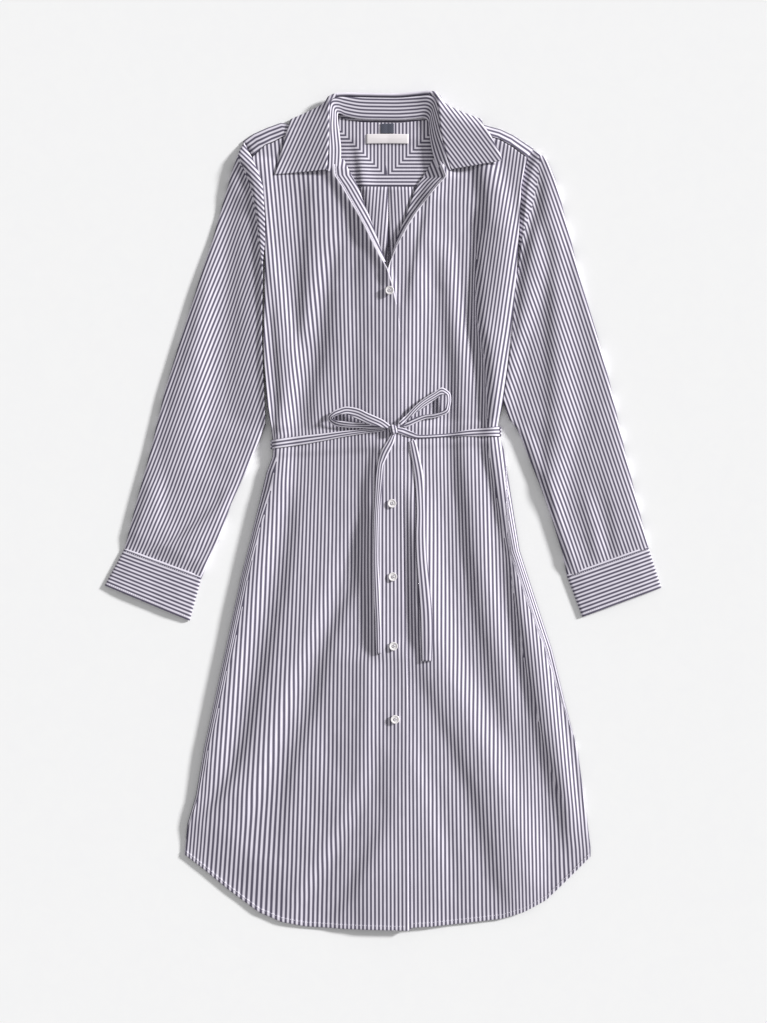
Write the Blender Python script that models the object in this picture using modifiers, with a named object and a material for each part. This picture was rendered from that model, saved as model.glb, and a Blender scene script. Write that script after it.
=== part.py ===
# A striped cotton shirt dress, laid flat with its front side up and its belt tied.
#
# +X is the wearer's left, +Y runs from the hem to the collar, +Z is up, and the dress lies on z = 0.
# The sizes and tables below are in millimetres; new_object() turns them into metres.

import bpy
import bmesh
import numpy as np
from mathutils import Vector
from mathutils.bvhtree import BVHTree

METRES = 0.001

# Driving dimensions
WALL = 1.2              # cloth of the panels
COLLAR_WALL = 1.5       # two layers and an interlining
BELT_WALL = 1.1
TRIM_WALL = 0.8         # label and tape
GAP = 0.3               # between pieces that touch
SEAM = 1.0              # between panels sewn edge to edge, seen from above
PANEL_GAP = 0.8         # between the front and the back where they lie flat
SOFTNESS = 3.0          # how much further the front stands off the back, away from its edges
EDGE_ROLL = 28.0        # width of the rounding along the side seams
EDGE_CLEAR = 0.4        # clear space inside a sleeve or cuff along its flat edges
EDGE_SHARE = 0.22       # share of a sleeve's width that rounds down to each edge
HEM_SHARE = 0.45        # share of the softness that is left at the hem
HEM_FADE = 60.0
PLEAT_CENTRE = 7.0
PLEAT_HALF = 18.0       # half the box pleat's width
PLEAT_SHOULDER = 8.0    # the front stays high this far beyond the pleat, then slopes down
PLEAT_SLOPE = 22.0
PLEAT_SPREAD = 16.0     # the back comes down to the floor this far beyond the pleat
LAYER = 1.5             # from one layer of the pleat to the next
YOKE_SEAM = 431.0       # y of the seam between yoke and back
YOKE_CORNER = 469.0     # y where the front yoke seams meet the armholes
NECK_LIFT = 2.2         # the yoke rises over the hidden part of the collar
NECK_CENTRE = 4.0
NECK_REACH = 128.0      # half the width of that rise, and the y where it starts
NECK_START = 484.0
OPENING_ROLL = 1.8      # the fronts stand up along the open neck
OPENING_ROLL_WIDTH = 20.0
PLACKET_EDGE = -44.0    # x where the right front starts to climb over the left one
PLACKET_TOP = 355.0     # y where the two fronts part
SHOULDER_TURN = 1.9     # from the yoke's lower layer to its folded-over strip
BELT_LIFT = 1.7         # the back rises over the hidden part of the belt
BELT_WIDTH = 12.0
THIN_WALL = 1.0         # bow loops and the belt behind the back
BELT_PRESS = 15.0       # the belt presses the front down this far above and below it
BUTTON_DIAMETER = 11.5
BUTTON_THICKNESS = 2.6
STAND_SHARE = 0.88      # the stand ends here on the way to the roll, and the fall takes over
ROLL_BULGE = 3.6        # the fall bulges out behind the neck

# Side edges of the body from the shoulder to the hem: y, x
RIGHT_SIDE = [
    (491, -186), (469, -175), (451, -167), (432, -161), (391, -157), (314, -157),
    (229, -159), (194, -158), (144, -154), (112, -149), (88, -146), (72, -147),
    (51, -155), (9, -165), (-41, -177), (-92, -190), (-172, -207), (-251, -224),
    (-315, -238), (-379, -249), (-416, -260), (-456, -264),
]
LEFT_SIDE = [
    (481, 200), (469, 192), (452, 188), (432, 184), (405, 183), (351, 180),
    (262, 175), (219, 172), (177, 166), (147, 161), (116, 153), (98, 155),
    (81, 161), (29, 169), (-16, 176), (-53, 182), (-118, 203), (-185, 225),
    (-251, 241), (-319, 259), (-371, 266), (-400, 270), (-447, 276), (-459, 276),
]

# Front edges: y, x. The right front lies over the left one below the neck.
RIGHT_FRONT_EDGE = [
    (517, -66), (480, -61), (455, -64), (445, -64), (438, -58), (428, -47), (411, -44.5),
    (383, -31), (360, -14), (311, 8), (290, 15), (265, 20), (237, 23), (177, 25),
    (81, 25), (-118, 28), (-271, 34), (-557, 34),
]
LEFT_FRONT_EDGE = [
    (515, 72), (497, 71.5), (473, 71.5), (454, 79), (443, 83), (436, 75.5), (416, 58.5),
    (386, 38.5), (360, 27.5), (335, 14), (300, 2), (270, -4), (-557, -2),
]

# Inner and outer edges of the turned-in facings: y, outer x, inner x
RIGHT_FACING = [
    (467, -52.6, -51), (452, -54, -44), (441, -57.5, -38.5), (428, -46, -32.5), (411, -43.3, -26.6),
    (383, -29.8, -17), (360, -12.8, -8), (335, -2, 1),
]
LEFT_FACING = [
    (468, 64.5, 62), (454, 69, 55), (441, 77.5, 49), (428, 68, 42.5), (416, 57.9, 38),
    (386, 37.9, 27.2), (360, 26.9, 20), (340, 16.2, 13.5),
]

# Yoke: x, y of the shoulder and neck line, and of the front seams
YOKE_EDGE = [
    (-186, 491), (-172, 501), (-154, 509), (-136, 515.5), (-121, 513.5), (-106, 518), (-89, 526),
    (-66, 534), (-62, 525), (-52, 521), (-28, 516.5), (23, 515.5), (45, 518), (66, 521),
    (73, 535), (100, 523), (116, 516), (129, 514), (156, 507), (173, 499), (200, 481),
]
RIGHT_YOKE_SEAM = [(-175, 469), (-157, 486), (-146, 490), (-133, 497), (-76, 517), (-66, 518)]
LEFT_YOKE_SEAM = [(72, 518), (84, 515), (156, 493), (172, 484), (192, 469)]
STRIP_INNER_RIGHT = -66.0
STRIP_INNER_LEFT = 72.0

# Shirt-tail hem: x, y
HEM = [
    (-264, -456), (-237, -477), (-203, -505), (-165, -533), (-135, -546), (-103, -552),
    (-51, -555), (34, -557), (36, -553.5), (66, -552), (113, -547), (157, -542), (187, -533),
    (217, -517), (244, -491), (276, -459),
]

# Centre line of the belt over the front: x, y, width
BELT = [
    (-148, 88, 11), (-84, 97, 12), (-40, 103, 11), (2, 108, 9), (30, 105, 7), (42, 99, 6),
    (65, 99, 6), (90, 103, 6), (116, 104, 12), (156, 106, 14),
]

# Long folds of the front: height (minus for a trough), half width, then y, x down their line
FOLDS = [
    (-1.6, 12, [(440, -101), (374, -110), (287, -124)]),
    (2.6, 26, [(370, -52), (241, -97), (114, -124)]),
    (4.6, 17, [(94, -128), (21, -130), (-112, -170), (-265, -210), (-400, -236)]),
    (-2.4, 13, [(-20, -118), (-158, -144), (-265, -184), (-384, -222)]),
    (3.8, 20, [(-60, -66), (-238, -124), (-420, -172)]),
    (-2.2, 15, [(-90, -40), (-265, -97), (-380, -140)]),
    (-2.0, 11, [(470, 118), (374, 142), (310, 122)]),
    (2.4, 28, [(400, 92), (200, 96), (118, 100)]),
    (3.0, 11, [(330, 100), (262, 108), (194, 125), (120, 124)]),
    (-4.6, 7, [(320, 114), (262, 124), (229, 136), (194, 141), (113, 142)]),
    (-4.4, 9, [(92, 141), (29, 150), (-80, 181), (-192, 209), (-420, 244)]),
    (3.0, 13, [(92, 122), (29, 131), (-80, 158), (-192, 186), (-330, 214)]),
    (-2.6, 12, [(78, 105), (-25, 114), (-192, 152), (-300, 178)]),
    (4.2, 22, [(20, 62), (-172, 89), (-318, 150), (-500, 205)]),
    (-2.2, 16, [(-190, 32), (-344, 106), (-464, 150), (-530, 165)]),
]
FOLD_FADE = 45.0        # length over which a fold dies out at each end

# Sleeves: corner curves, x and y
RIGHT_ARMHOLE = [
    (-187.5, 490), (-176, 468.5), (-168, 450.5), (-162, 431.5), (-158, 391), (-158, 352), (-159.5, 320),
]
RIGHT_SLEEVE_OUTER = [
    (-187.5, 490), (-193, 472), (-201, 451), (-225, 366), (-246, 302), (-274, 213), (-290, 161),
    (-309, 81), (-326, 19), (-343, -48.5),
]
RIGHT_SLEEVE_INNER = [
    (-159.5, 320), (-160.5, 229), (-159.3, 194), (-157, 150), (-156, 114), (-167, 86), (-202, 9), (-219, -41),
    (-226, -51), (-240, -86),
]
LEFT_ARMHOLE = [
    (201, 481), (193.5, 468.5), (189.5, 451), (185.5, 431.5), (184.3, 405), (181.5, 351), (179.3, 320),
]
LEFT_SLEEVE_OUTER = [
    (201, 481), (210, 474), (219, 466), (229, 442), (237, 411), (249, 364), (263, 306), (285, 234),
    (302, 169), (323, 74), (352, -45.5),
]
LEFT_SLEEVE_INNER = [
    (179.3, 320), (176.5, 262), (173.5, 219), (167.5, 177), (163, 147), (172, 122), (184, 96),
    (209, 33), (222, -3), (239, -57), (243.5, -84),
]
# Sleeve creases: height, half width, then y, x
SLEEVE_FOLDS = [
    (1.5, 22, [(400, -207), (174, -236), (20, -250)]),
    (-1.8, 11, [(450, -182), (350, -172), (200, -166), (110, -164)]),
    (-2.0, 16, [(40, -206), (-12, -250), (-50, -306)]),
    (1.4, 12, [(10, -224), (-60, -262)]),
    (-1.8, 10, [(470, 206), (354, 215), (161, 222), (15, 214)]),
    (1.5, 20, [(440, 222), (250, 250), (60, 285), (-40, 310)]),
    (-1.6, 9, [(20, 268), (-70, 296)]),
    (-1.4, 8, [(30, 302), (-60, 320)]),
]
SLEEVE_SOFTNESS = 2.6
CUFF_SOFTNESS = 0.9

# Cuffs: the four corners (outer top, inner top, inner bottom, outer bottom), x and y
RIGHT_CUFF = [(-343.1, -49), (-240.6, -86.5), (-257, -146), (-370, -99)]
LEFT_CUFF = [(352.2, -46.1), (243.7, -84.6), (265, -141), (370, -102)]

# Collar stand and fall, from the wearer's right end round the back to the left end.
# Foot is the neckline, roll is the fold line and edge is the outer edge of the fall. The last
# column says how fast the fall drops from the roll: 1 is a straight slope.
COLLAR = [
    # foot x, y, z      roll x, y, z        edge x, y, z         drop
    (-59, 443, 9.2,     -75.5, 452, 17,     -144, 446, 6.0,      1.3),
    (-57, 452, 7.6,     -75.5, 461, 18.8,   -140.5, 458, 6.0,    1.3),
    (-55.5, 478, 6.0,   -74, 482, 20,       -134.5, 480, 6.0,    1.3),
    (-57.5, 500, 5.6,   -73, 505, 20,       -129, 499, 6.0,      1.4),
    (-59.5, 514, 5.2,   -72.5, 526, 19,     -125, 511, 6.0,      1.6),
    (-60, 526, 4.8,     -71, 543, 17.5,     -121, 520.5, 2.4,    3.0),
    (-56, 527, 4.3,     -64, 550.5, 16,     -108, 508, 1.1,      7.0),
    (-48, 523.5, 3.9,   -51, 552.5, 15,     -78, 503, 1.1,       8.0),
    (-28, 520, 3.7,     -30, 552.5, 14,     -40, 501, 1.1,       8.0),
    (0, 519.2, 3.7,     0, 552, 14,         0, 500.5, 1.1,       8.0),
    (23, 519.2, 3.7,    23, 552, 14,        32, 501, 1.1,        8.0),
    (43, 521.5, 3.8,    45, 553.5, 15,      68, 503, 1.1,        8.0),
    (59, 525, 4.0,      61, 554, 16,        92, 505, 1.1,        8.0),
    (66, 526, 4.5,      69.5, 551.5, 17,    112, 508.5, 1.1,     7.0),
    (69.5, 521, 5.0,    73.5, 542, 18.5,    128.5, 520.5, 2.4,   3.0),
    (69, 508, 5.2,      76, 525, 19.5,      133, 511, 6.0,       1.6),
    (68, 490, 5.6,      78, 504, 20,        141, 500, 6.0,       1.4),
    (67.5, 473, 6.0,    83, 483, 20,        149.5, 484, 6.0,     1.3),
    (72.5, 456, 7.6,    88, 464, 18.8,      155.5, 472, 6.0,     1.3),
    (78, 444, 9.2,      91.5, 453, 17,      158.5, 464, 6.0,     1.3),
]

# Bow: outer edge x, y, height over the front, inner edge x, y, height
RIGHT_LOOP = [
    (4, 105.5, 2.2,    4, 111, 2.2),
    (-17, 107.5, 3.2,  -17, 114, 4.2),
    (-48, 109.5, 3.4,  -48, 116.5, 6.4),
    (-64, 114.5, 3.4,  -62, 120.5, 8.5),
    (-73, 124, 4.4,    -65.5, 124.5, 9.0),
    (-64, 133.5, 4.6,  -58, 127, 8.0),
    (-49, 139.5, 4.4,  -47, 130, 7.2),
    (-35, 134.5, 5.0,  -37, 125.5, 7.6),
    (-17, 124.5, 6.4,  -19, 118, 8.4),
    (4, 114.5, 6.8,    2, 110, 8.0),
]
LEFT_LOOP = [
    (26, 108, 1.1,    26, 113, 1.1),
    (46, 119.5, 1.1,  46, 126.5, 3.4),
    (66, 126, 2.2,    64, 131, 6.6),
    (84, 131, 4.0,    79.5, 134.5, 10.0),
    (90, 143.5, 5.0,  84.5, 143.5, 12.0),
    (88, 156.5, 5.0,  81.5, 152.5, 11.5),
    (75, 163, 4.6,    73, 152, 8.6),
    (57, 151.5, 4.8,  62, 141, 7.6),
    (35, 131, 6.0,    42, 124, 8.0),
    (24, 119.5, 6.8,  28, 113.5, 8.4),
]
KNOT = (16, 109)
KNOT_SIZE = (15, 16, 9)

# Hanging ends of the belt: y, right edge x, left edge x
RIGHT_TAIL = [
    (97, 7, 17), (69, -5, 8), (44, -9, 1), (-7, -13, -4), (-65, -14, -5), (-106, -13, -4),
    (-157, -10.5, -2), (-189, -9.5, -2),
]
LEFT_TAIL = [
    (93, 34, 43), (81, 36, 46.5), (44, 41, 51), (3, 43, 56), (-33, 43, 57), (-65, 44, 58),
    (-106, 46, 63), (-137, 49, 65), (-172, 50, 66), (-199, 52, 64),
]

BUTTONS = [(9, 292), (12, 10), (13, -87), (14, -179), (16, -276)]
LABEL = (-22, 34, 488, 500.5)           # low x, high x, low y, high y
HANGER_TAPE = (-4, 15, 501.2, 514.5)

STRIPED = ("striped_cotton", (0.50, 0.48, 0.55, 1), 0.85)
INSIDE = ("striped_cotton_inside", (0.46, 0.44, 0.51, 1), 0.88)
SHELL = ("button_shell", (0.80, 0.80, 0.82, 1), 0.30)
WOVEN = ("woven_label", (0.78, 0.77, 0.80, 1), 0.75)
TAPE = ("plain_tape", (0.34, 0.35, 0.42, 1), 0.80)


# ---- curves and heights ----

def smooth(t):
    t = np.clip(t, 0.0, 1.0)
    return t * t * (3.0 - 2.0 * t)


def curve(at, knots, values):
    """Cubic curve through the table's points, kept flat outside them."""
    order = np.argsort(knots)
    k = np.asarray(knots, float)[order]
    v = np.asarray(values, float)[order]
    slope = np.gradient(v, k)
    at = np.clip(np.asarray(at, float), k[0], k[-1])
    i = np.clip(np.searchsorted(k, at) - 1, 0, len(k) - 2)
    width = k[i + 1] - k[i]
    t = (at - k[i]) / width
    a = v[i] * (1 + 2 * t) * (1 - t) ** 2 + v[i + 1] * t * t * (3 - 2 * t)
    b = slope[i] * t * (1 - t) ** 2 - slope[i + 1] * t * t * (1 - t)
    return a + b * width


def edge_x(table, y, column=1):
    return np.interp(y, [row[0] for row in table][::-1], [row[column] for row in table][::-1])


def line_y(table, x, column=1):
    return np.interp(x, [row[0] for row in table], [row[column] for row in table])


def along(points, t):
    """Points at the fractions t of a polyline's length."""
    points = np.asarray(points, float)
    steps = np.linalg.norm(np.diff(points, axis=0), axis=1)
    reach = np.concatenate([[0.0], np.cumsum(steps)]) / steps.sum()
    return np.stack([np.interp(t, reach, points[:, k]) for k in range(points.shape[1])], axis=-1)


def patch(top, bottom, start, end, s, t):
    """Coons patch between four curves: rows at t from top to bottom, columns at s from start to end."""
    top, bottom = along(top, s)[None], along(bottom, s)[None]
    start, end = along(start, t)[:, None], along(end, t)[:, None]
    s, t = s[None, :, None], t[:, None, None]
    sides = (1 - s) * start + s * end
    ends = (1 - t) * top + t * bottom
    corners = (1 - s) * (1 - t) * top[:, :1] + s * (1 - t) * top[:, -1:]
    corners = corners + (1 - s) * t * bottom[:, :1] + s * t * bottom[:, -1:]
    return sides + ends - corners


def body_grid(low_x, high_x, top_y, bottom_y, s, t):
    """Plan of a body panel: rows at t from its top line to the hem, columns at s between its sides."""
    ends = []
    for line, y in ((top_y, 480.0), (bottom_y, -480.0)):
        y = np.full(len(s), y)
        for _ in range(8):
            y = line(low_x(y) * (1 - s) + high_x(y) * s)
        ends.append(y)
    y = ends[0] * (1 - t[:, None]) + ends[1] * t[:, None]
    return low_x(y) * (1 - s) + high_x(y) * s, y


def folds_height(x, y, folds):
    total = np.zeros(np.broadcast(x, y).shape)
    for height, width, line in folds:
        ys = [point[0] for point in line]
        xs = [point[1] for point in line]
        fade = smooth((ys[0] - y) / FOLD_FADE) * smooth((y - ys[-1]) / FOLD_FADE)
        total = total + height * fade * np.exp(-((x - curve(y, ys, xs)) / width) ** 2)
    return total


def neck_lift(x, y):
    across = 1 - smooth((np.abs(x - NECK_CENTRE) - NECK_REACH) / 10)
    return NECK_LIFT * across * smooth((y - NECK_START) / 14)


def belt_back_y(x):
    """Straight line between the belt's ends in the table."""
    (low, low_y, _), (high, high_y, _) = BELT[0], BELT[-1]
    return low_y + (x - low) * (high_y - low_y) / (high - low)


def belt_lift(x, y):
    off = np.abs(y - belt_back_y(x)) - BELT_WIDTH / 2
    return BELT_LIFT * (1 - smooth((off - 4) / 10))


def pleat_lift(x, y):
    off = np.abs(x - PLEAT_CENTRE) - PLEAT_HALF - PLEAT_SHOULDER
    return 2 * LAYER * (1 - smooth(off / PLEAT_SLOPE)) * smooth((YOKE_SEAM + 20 - y) / 30)


def hem_y(x):
    return line_y(HEM, x)


def front_under(x, y):
    """Height of the front's lower face over z = 0."""
    side = np.minimum(x - edge_x(RIGHT_SIDE, y), edge_x(LEFT_SIDE, y) - x)
    rise = smooth(side / EDGE_ROLL)
    rise = rise * (HEM_SHARE + (1 - HEM_SHARE) * smooth((y - hem_y(x)) / HEM_FADE))
    neck = np.exp(-((x - edge_x(RIGHT_FRONT_EDGE, y)) / OPENING_ROLL_WIDTH) ** 2)
    neck = neck + np.exp(-((x - edge_x(LEFT_FRONT_EDGE, y)) / OPENING_ROLL_WIDTH) ** 2)
    open_neck = smooth((y - 265) / 80) * (1 - smooth((y - 440) / 40))
    loft = rise * (SOFTNESS + folds_height(x, y, FOLDS)) + OPENING_ROLL * neck * open_neck
    waist = np.exp(-((y - line_y(BELT, x)) / BELT_PRESS) ** 2)
    loft = np.maximum(loft, 0) * (1 - 0.5 * waist)
    return WALL + PANEL_GAP + pleat_lift(x, y) + belt_lift(x, y) + loft


def placket_lift(x, y):
    """The right front climbs over the left one along the button line."""
    return (WALL + PANEL_GAP) * smooth((x - PLACKET_EDGE) / 30) * smooth((PLACKET_TOP - y) / 35)


# ---- building ----

def new_material(spec):
    name, colour, roughness = spec
    material = bpy.data.materials.get(name)
    if material is None:
        material = bpy.data.materials.new(name)
        material.use_nodes = True
        shader = material.node_tree.nodes["Principled BSDF"]
        shader.inputs["Base Color"].default_value = colour
        shader.inputs["Roughness"].default_value = roughness
        shader.inputs["Metallic"].default_value = 0.0
    return material


def new_object(name, mesh, spec):
    mesh.materials.append(new_material(spec))
    mesh.shade_smooth()
    mesh.set_sharp_from_angle(angle=0.7)
    thing = bpy.data.objects.new(name, mesh)
    bpy.data.collections["shirt_dress"].objects.link(thing)
    return thing


def grid_mesh(name, points, ring=False, keep=None):
    """Open mesh over rows and columns of points, closed round each row for a tube."""
    rows, columns = points.shape[:2]
    shape = bmesh.new()
    verts = [[shape.verts.new(Vector(p) * METRES) for p in row] for row in points]
    for r in range(rows - 1):
        for c in range(columns if ring else columns - 1):
            if keep is None or keep(r, c):
                d = (c + 1) % columns
                shape.faces.new((verts[r][c], verts[r + 1][c], verts[r + 1][d], verts[r][d]))
    loose = [v for v in shape.verts if not v.link_faces]
    bmesh.ops.delete(shape, geom=loose, context="VERTS")
    mesh = bpy.data.meshes.new(name)
    shape.to_mesh(mesh)
    shape.free()
    return mesh


def panel(name, points, spec, thickness=WALL):
    """Wall whose lower face is the grid, extruded straight up."""
    mesh = grid_mesh(name, points)
    shape = bmesh.new()
    shape.from_mesh(mesh)
    parts = shape.verts[:] + shape.edges[:] + shape.faces[:]
    raised = bmesh.ops.extrude_face_region(shape, geom=parts, use_keep_orig=True)["geom"]
    raised = [part for part in raised if isinstance(part, bmesh.types.BMVert)]
    bmesh.ops.translate(shape, verts=raised, vec=(0, 0, thickness * METRES))
    bmesh.ops.recalc_face_normals(shape, faces=shape.faces)
    shape.to_mesh(mesh)
    shape.free()
    return new_object(name, mesh, spec)


def shell(name, points, spec, thickness=WALL, ring=False, keep=None):
    """Wall of even thickness, half on each side of the grid."""
    thing = new_object(name, grid_mesh(name, points, ring, keep), spec)
    wall = thing.modifiers.new("wall", "SOLIDIFY")
    wall.thickness = thickness * METRES
    wall.offset = 0.0
    return thing


def surface_under(things):
    """Function that gives the highest point of these objects near x, y."""
    bpy.context.view_layer.update()
    graph = bpy.context.evaluated_depsgraph_get()
    trees = [BVHTree.FromObject(thing, graph) for thing in things]
    down = Vector((0, 0, -1))

    def top(x, y, reach=4.0):
        best = 0.0
        for dx, dy in ((0, 0), (reach, 0), (-reach, 0), (0, reach), (0, -reach)):
            start = Vector(((x + dx) * METRES, (y + dy) * METRES, 0.2))
            for tree in trees:
                hit = tree.ray_cast(start, down)[0]
                if hit is not None:
                    best = max(best, hit.z / METRES)
        return best

    return top


def settle(points, top, clearance, reach=4.0):
    """Raise each point of a grid until it clears what lies under it."""
    rows, columns = points.shape[:2]
    for r in range(rows):
        for c in range(columns):
            x, y, z = points[r, c]
            points[r, c, 2] = max(z, top(x, y, reach) + clearance)
    return points


# ---- panels ----

FRONT_ROWS = np.array([
    0, 0.03, 0.058, 0.068, 0.076, 0.085, 0.097, 0.11, 0.124, 0.146, 0.17, 0.195, 0.23, 0.265, 0.30,
    0.335, 0.36, 0.375, 0.39, 0.405, 0.42, 0.44, 0.47, 0.505, 0.545, 0.585, 0.625, 0.665, 0.71,
    0.755, 0.80, 0.845, 0.89, 0.93, 0.965, 1.0,
])
BACK_ROWS = np.array([
    0, 0.06, 0.13, 0.20, 0.26, 0.30, 0.318, 0.33, 0.342, 0.353, 0.364, 0.376, 0.392, 0.42, 0.48,
    0.56, 0.64, 0.72, 0.80, 0.88, 0.95, 1.0,
])


def make_fronts():
    across = np.concatenate([[0, 0.04, 0.09], np.linspace(0.15, 1, 15)])
    x, y = body_grid(
        lambda v: edge_x(RIGHT_SIDE, np.minimum(v, YOKE_CORNER)), lambda v: edge_x(RIGHT_FRONT_EDGE, v),
        lambda u: line_y(RIGHT_YOKE_SEAM, u) - SEAM, hem_y, across, FRONT_ROWS)
    z = front_under(x, y) + placket_lift(x, y)
    right = panel("front_right", np.stack([x, y, z], -1), STRIPED)
    x, y = body_grid(
        lambda v: edge_x(LEFT_FRONT_EDGE, v), lambda v: edge_x(LEFT_SIDE, np.minimum(v, YOKE_CORNER)),
        lambda u: line_y(LEFT_YOKE_SEAM, u) - SEAM, hem_y, 1 - across[::-1], FRONT_ROWS)
    left = panel("front_left", np.stack([x, y, front_under(x, y)], -1), STRIPED)
    return right, left


def make_back():
    """One panel whose centre is folded into a box pleat: three layers deep, open at the hem."""
    half, top = PLEAT_HALF, 2 * LAYER
    flat = half + PLEAT_SPREAD
    pleat = [
        (-half - PLEAT_SPREAD, 0), (-half - 6, top), (-2, top), (-1, 0.75 * top), (-2, LAYER),
        (1 - half, LAYER), (-half, LAYER / 2), (1 - half, 0), (half - 1, 0), (half, LAYER / 2),
        (half - 1, LAYER), (2, LAYER), (1, 0.75 * top), (2, top), (half + 6, top), (half + PLEAT_SPREAD, 0),
    ]
    outer = np.array([0, 0.16, 0.34, 0.52, 0.70, 0.86])
    grid = []
    for t in BACK_ROWS:
        row = []
        plan = [("right", s, 0.0) for s in outer] + [("pleat", u, h) for u, h in pleat]
        plan += [("left", s, 0.0) for s in outer[::-1]]
        for part, at, height in plan:
            y = YOKE_SEAM
            for _ in range(6):
                if part == "pleat":
                    x = PLEAT_CENTRE + at
                elif part == "right":
                    side = edge_x(RIGHT_SIDE, y) + WALL
                    x = side + (PLEAT_CENTRE - flat - side) * at
                else:
                    side = edge_x(LEFT_SIDE, y) - WALL
                    x = side + (PLEAT_CENTRE + flat - side) * at
                y = (YOKE_SEAM - SEAM) * (1 - t) + (hem_y(x) + 2) * t
            row.append((x, y, WALL / 2 + height + belt_lift(x, y)))
        grid.append(row)
    return shell("back", np.array(grid), INSIDE)


def make_yoke():
    """Back yoke with two strips that fold over the shoulders to the front."""
    xs = np.array([
        -186, -176, -166, -153.5, -139, -121, -106, -90, -76, -66, -60, -50, -38, -20, 2, 24, 40, 54, 66,
        73, 83, 98, 114, 129, 145, 161, 178, 189, 200,
    ], float)
    share = (xs - xs[0]) / (xs[-1] - xs[0])
    edge = line_y(YOKE_EDGE, xs)
    rows = []
    back_levels = (0, 0.2, 0.4, 0.56, 0.7, 0.83, 0.955, 1.0)
    for t in back_levels:
        y = YOKE_SEAM + (edge - YOKE_SEAM) * t
        x = edge_x(RIGHT_SIDE, y) * (1 - share) + edge_x(LEFT_SIDE, y) * share
        wrapped = (xs <= STRIP_INNER_RIGHT) | (xs >= STRIP_INNER_LEFT)
        turn = SHOULDER_TURN / 2 * (t == 1) * wrapped
        rows.append(np.stack([x, y, WALL / 2 + neck_lift(x, y) + turn], -1))
    seam_x = np.where(xs < 0, np.interp(xs, [-186, -66], [-175, -68]), np.interp(xs, [73, 200], [75, 192]))
    seam_y = np.where(xs < 0, line_y(RIGHT_YOKE_SEAM, seam_x), line_y(LEFT_YOKE_SEAM, seam_x))
    for k in (0.16, 0.45, 0.74, 1.0):
        x = xs + (seam_x - xs) * k
        y = edge + (seam_y - edge) * k
        fold = WALL / 2 + neck_lift(x, edge) + SHOULDER_TURN
        flat = front_under(x, y) + WALL / 2
        rows.append(np.stack([x, y, fold + (np.maximum(flat, fold) - fold) * smooth(k)], -1))

    def keep(r, c):
        if r < len(back_levels) - 1:
            return True
        return xs[c + 1] <= STRIP_INNER_RIGHT or xs[c] >= STRIP_INNER_LEFT

    return shell("yoke", np.array(rows), INSIDE, keep=keep)


def make_facing(name, table, levels=14):
    """Turned-in edge of a front: high at the fold, low at its inner edge."""
    y = np.linspace(table[0][0], table[-1][0], levels)
    outer, inner = edge_x(table, y), edge_x(table, y, 2)
    rows = []
    for k in (0.0, 0.5, 1.0):
        x = outer + (inner - outer) * k
        high = front_under(outer, y)
        low = WALL + PANEL_GAP + 2 * GAP + pleat_lift(x, y)
        rows.append(np.stack([x, y, high + (np.minimum(low, high) - high) * k], -1))
    return panel(name, np.stack(rows, 1), INSIDE)


# ---- sleeves and cuffs ----

def flat_tube(name, plan, softness, folds, spec):
    """Tube pressed flat: one wall on the floor and one over it, joined at both edges."""
    rows, columns = plan.shape[:2]
    s = np.linspace(0, 1, columns)[None, :]
    x, y = plan[..., 0], plan[..., 1]
    swell = smooth(s / EDGE_SHARE) * smooth((1 - s) / EDGE_SHARE)
    bottom, between = WALL / 2, WALL + EDGE_CLEAR
    top = bottom + between + swell * np.maximum(softness + folds_height(x, y, folds), EDGE_CLEAR)
    grid = []
    for r in range(rows):
        ring = [(x[r, 0], y[r, 0], bottom + between / 2)]
        ring += [(x[r, c], y[r, c], top[r, c]) for c in range(1, columns - 1)]
        ring += [(x[r, -1], y[r, -1], bottom + between / 2)]
        ring += [(x[r, c], y[r, c], bottom) for c in range(columns - 2, 0, -1)]
        grid.append(ring)
    return shell(name, np.array(grid), spec, ring=True)


def make_sleeves():
    s = np.concatenate([[0, 0.025], np.linspace(0.1, 0.9, 9), [0.975, 1]])
    t = np.linspace(0, 1, 17)
    sides = (
        ("sleeve_right", RIGHT_ARMHOLE, RIGHT_SLEEVE_OUTER, RIGHT_SLEEVE_INNER),
        ("sleeve_left", LEFT_ARMHOLE, LEFT_SLEEVE_OUTER, LEFT_SLEEVE_INNER),
    )
    for name, armhole, outer, inner in sides:
        plan = patch(armhole, [outer[-1], inner[-1]], outer, inner, s, t)
        flat_tube(name, plan, SLEEVE_SOFTNESS, SLEEVE_FOLDS, STRIPED)


def make_cuffs():
    s = np.concatenate([[0, 0.03], np.linspace(0.12, 0.88, 6), [0.97, 1]])
    t = np.linspace(0, 1, 4)
    for name, (a, b, c, d) in (("cuff_right", RIGHT_CUFF), ("cuff_left", LEFT_CUFF)):
        plan = patch([a, b], [d, c], [a, d], [b, c], s, t)
        flat_tube(name, plan, CUFF_SOFTNESS, [], STRIPED)


# ---- collar ----

def collar_stations(count=31):
    table = np.array(COLLAR, float)
    index = np.arange(len(table))
    at = np.linspace(0, len(table) - 1, count)
    return np.stack([curve(at, index, table[:, k]) for k in range(table.shape[1])], -1)


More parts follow.
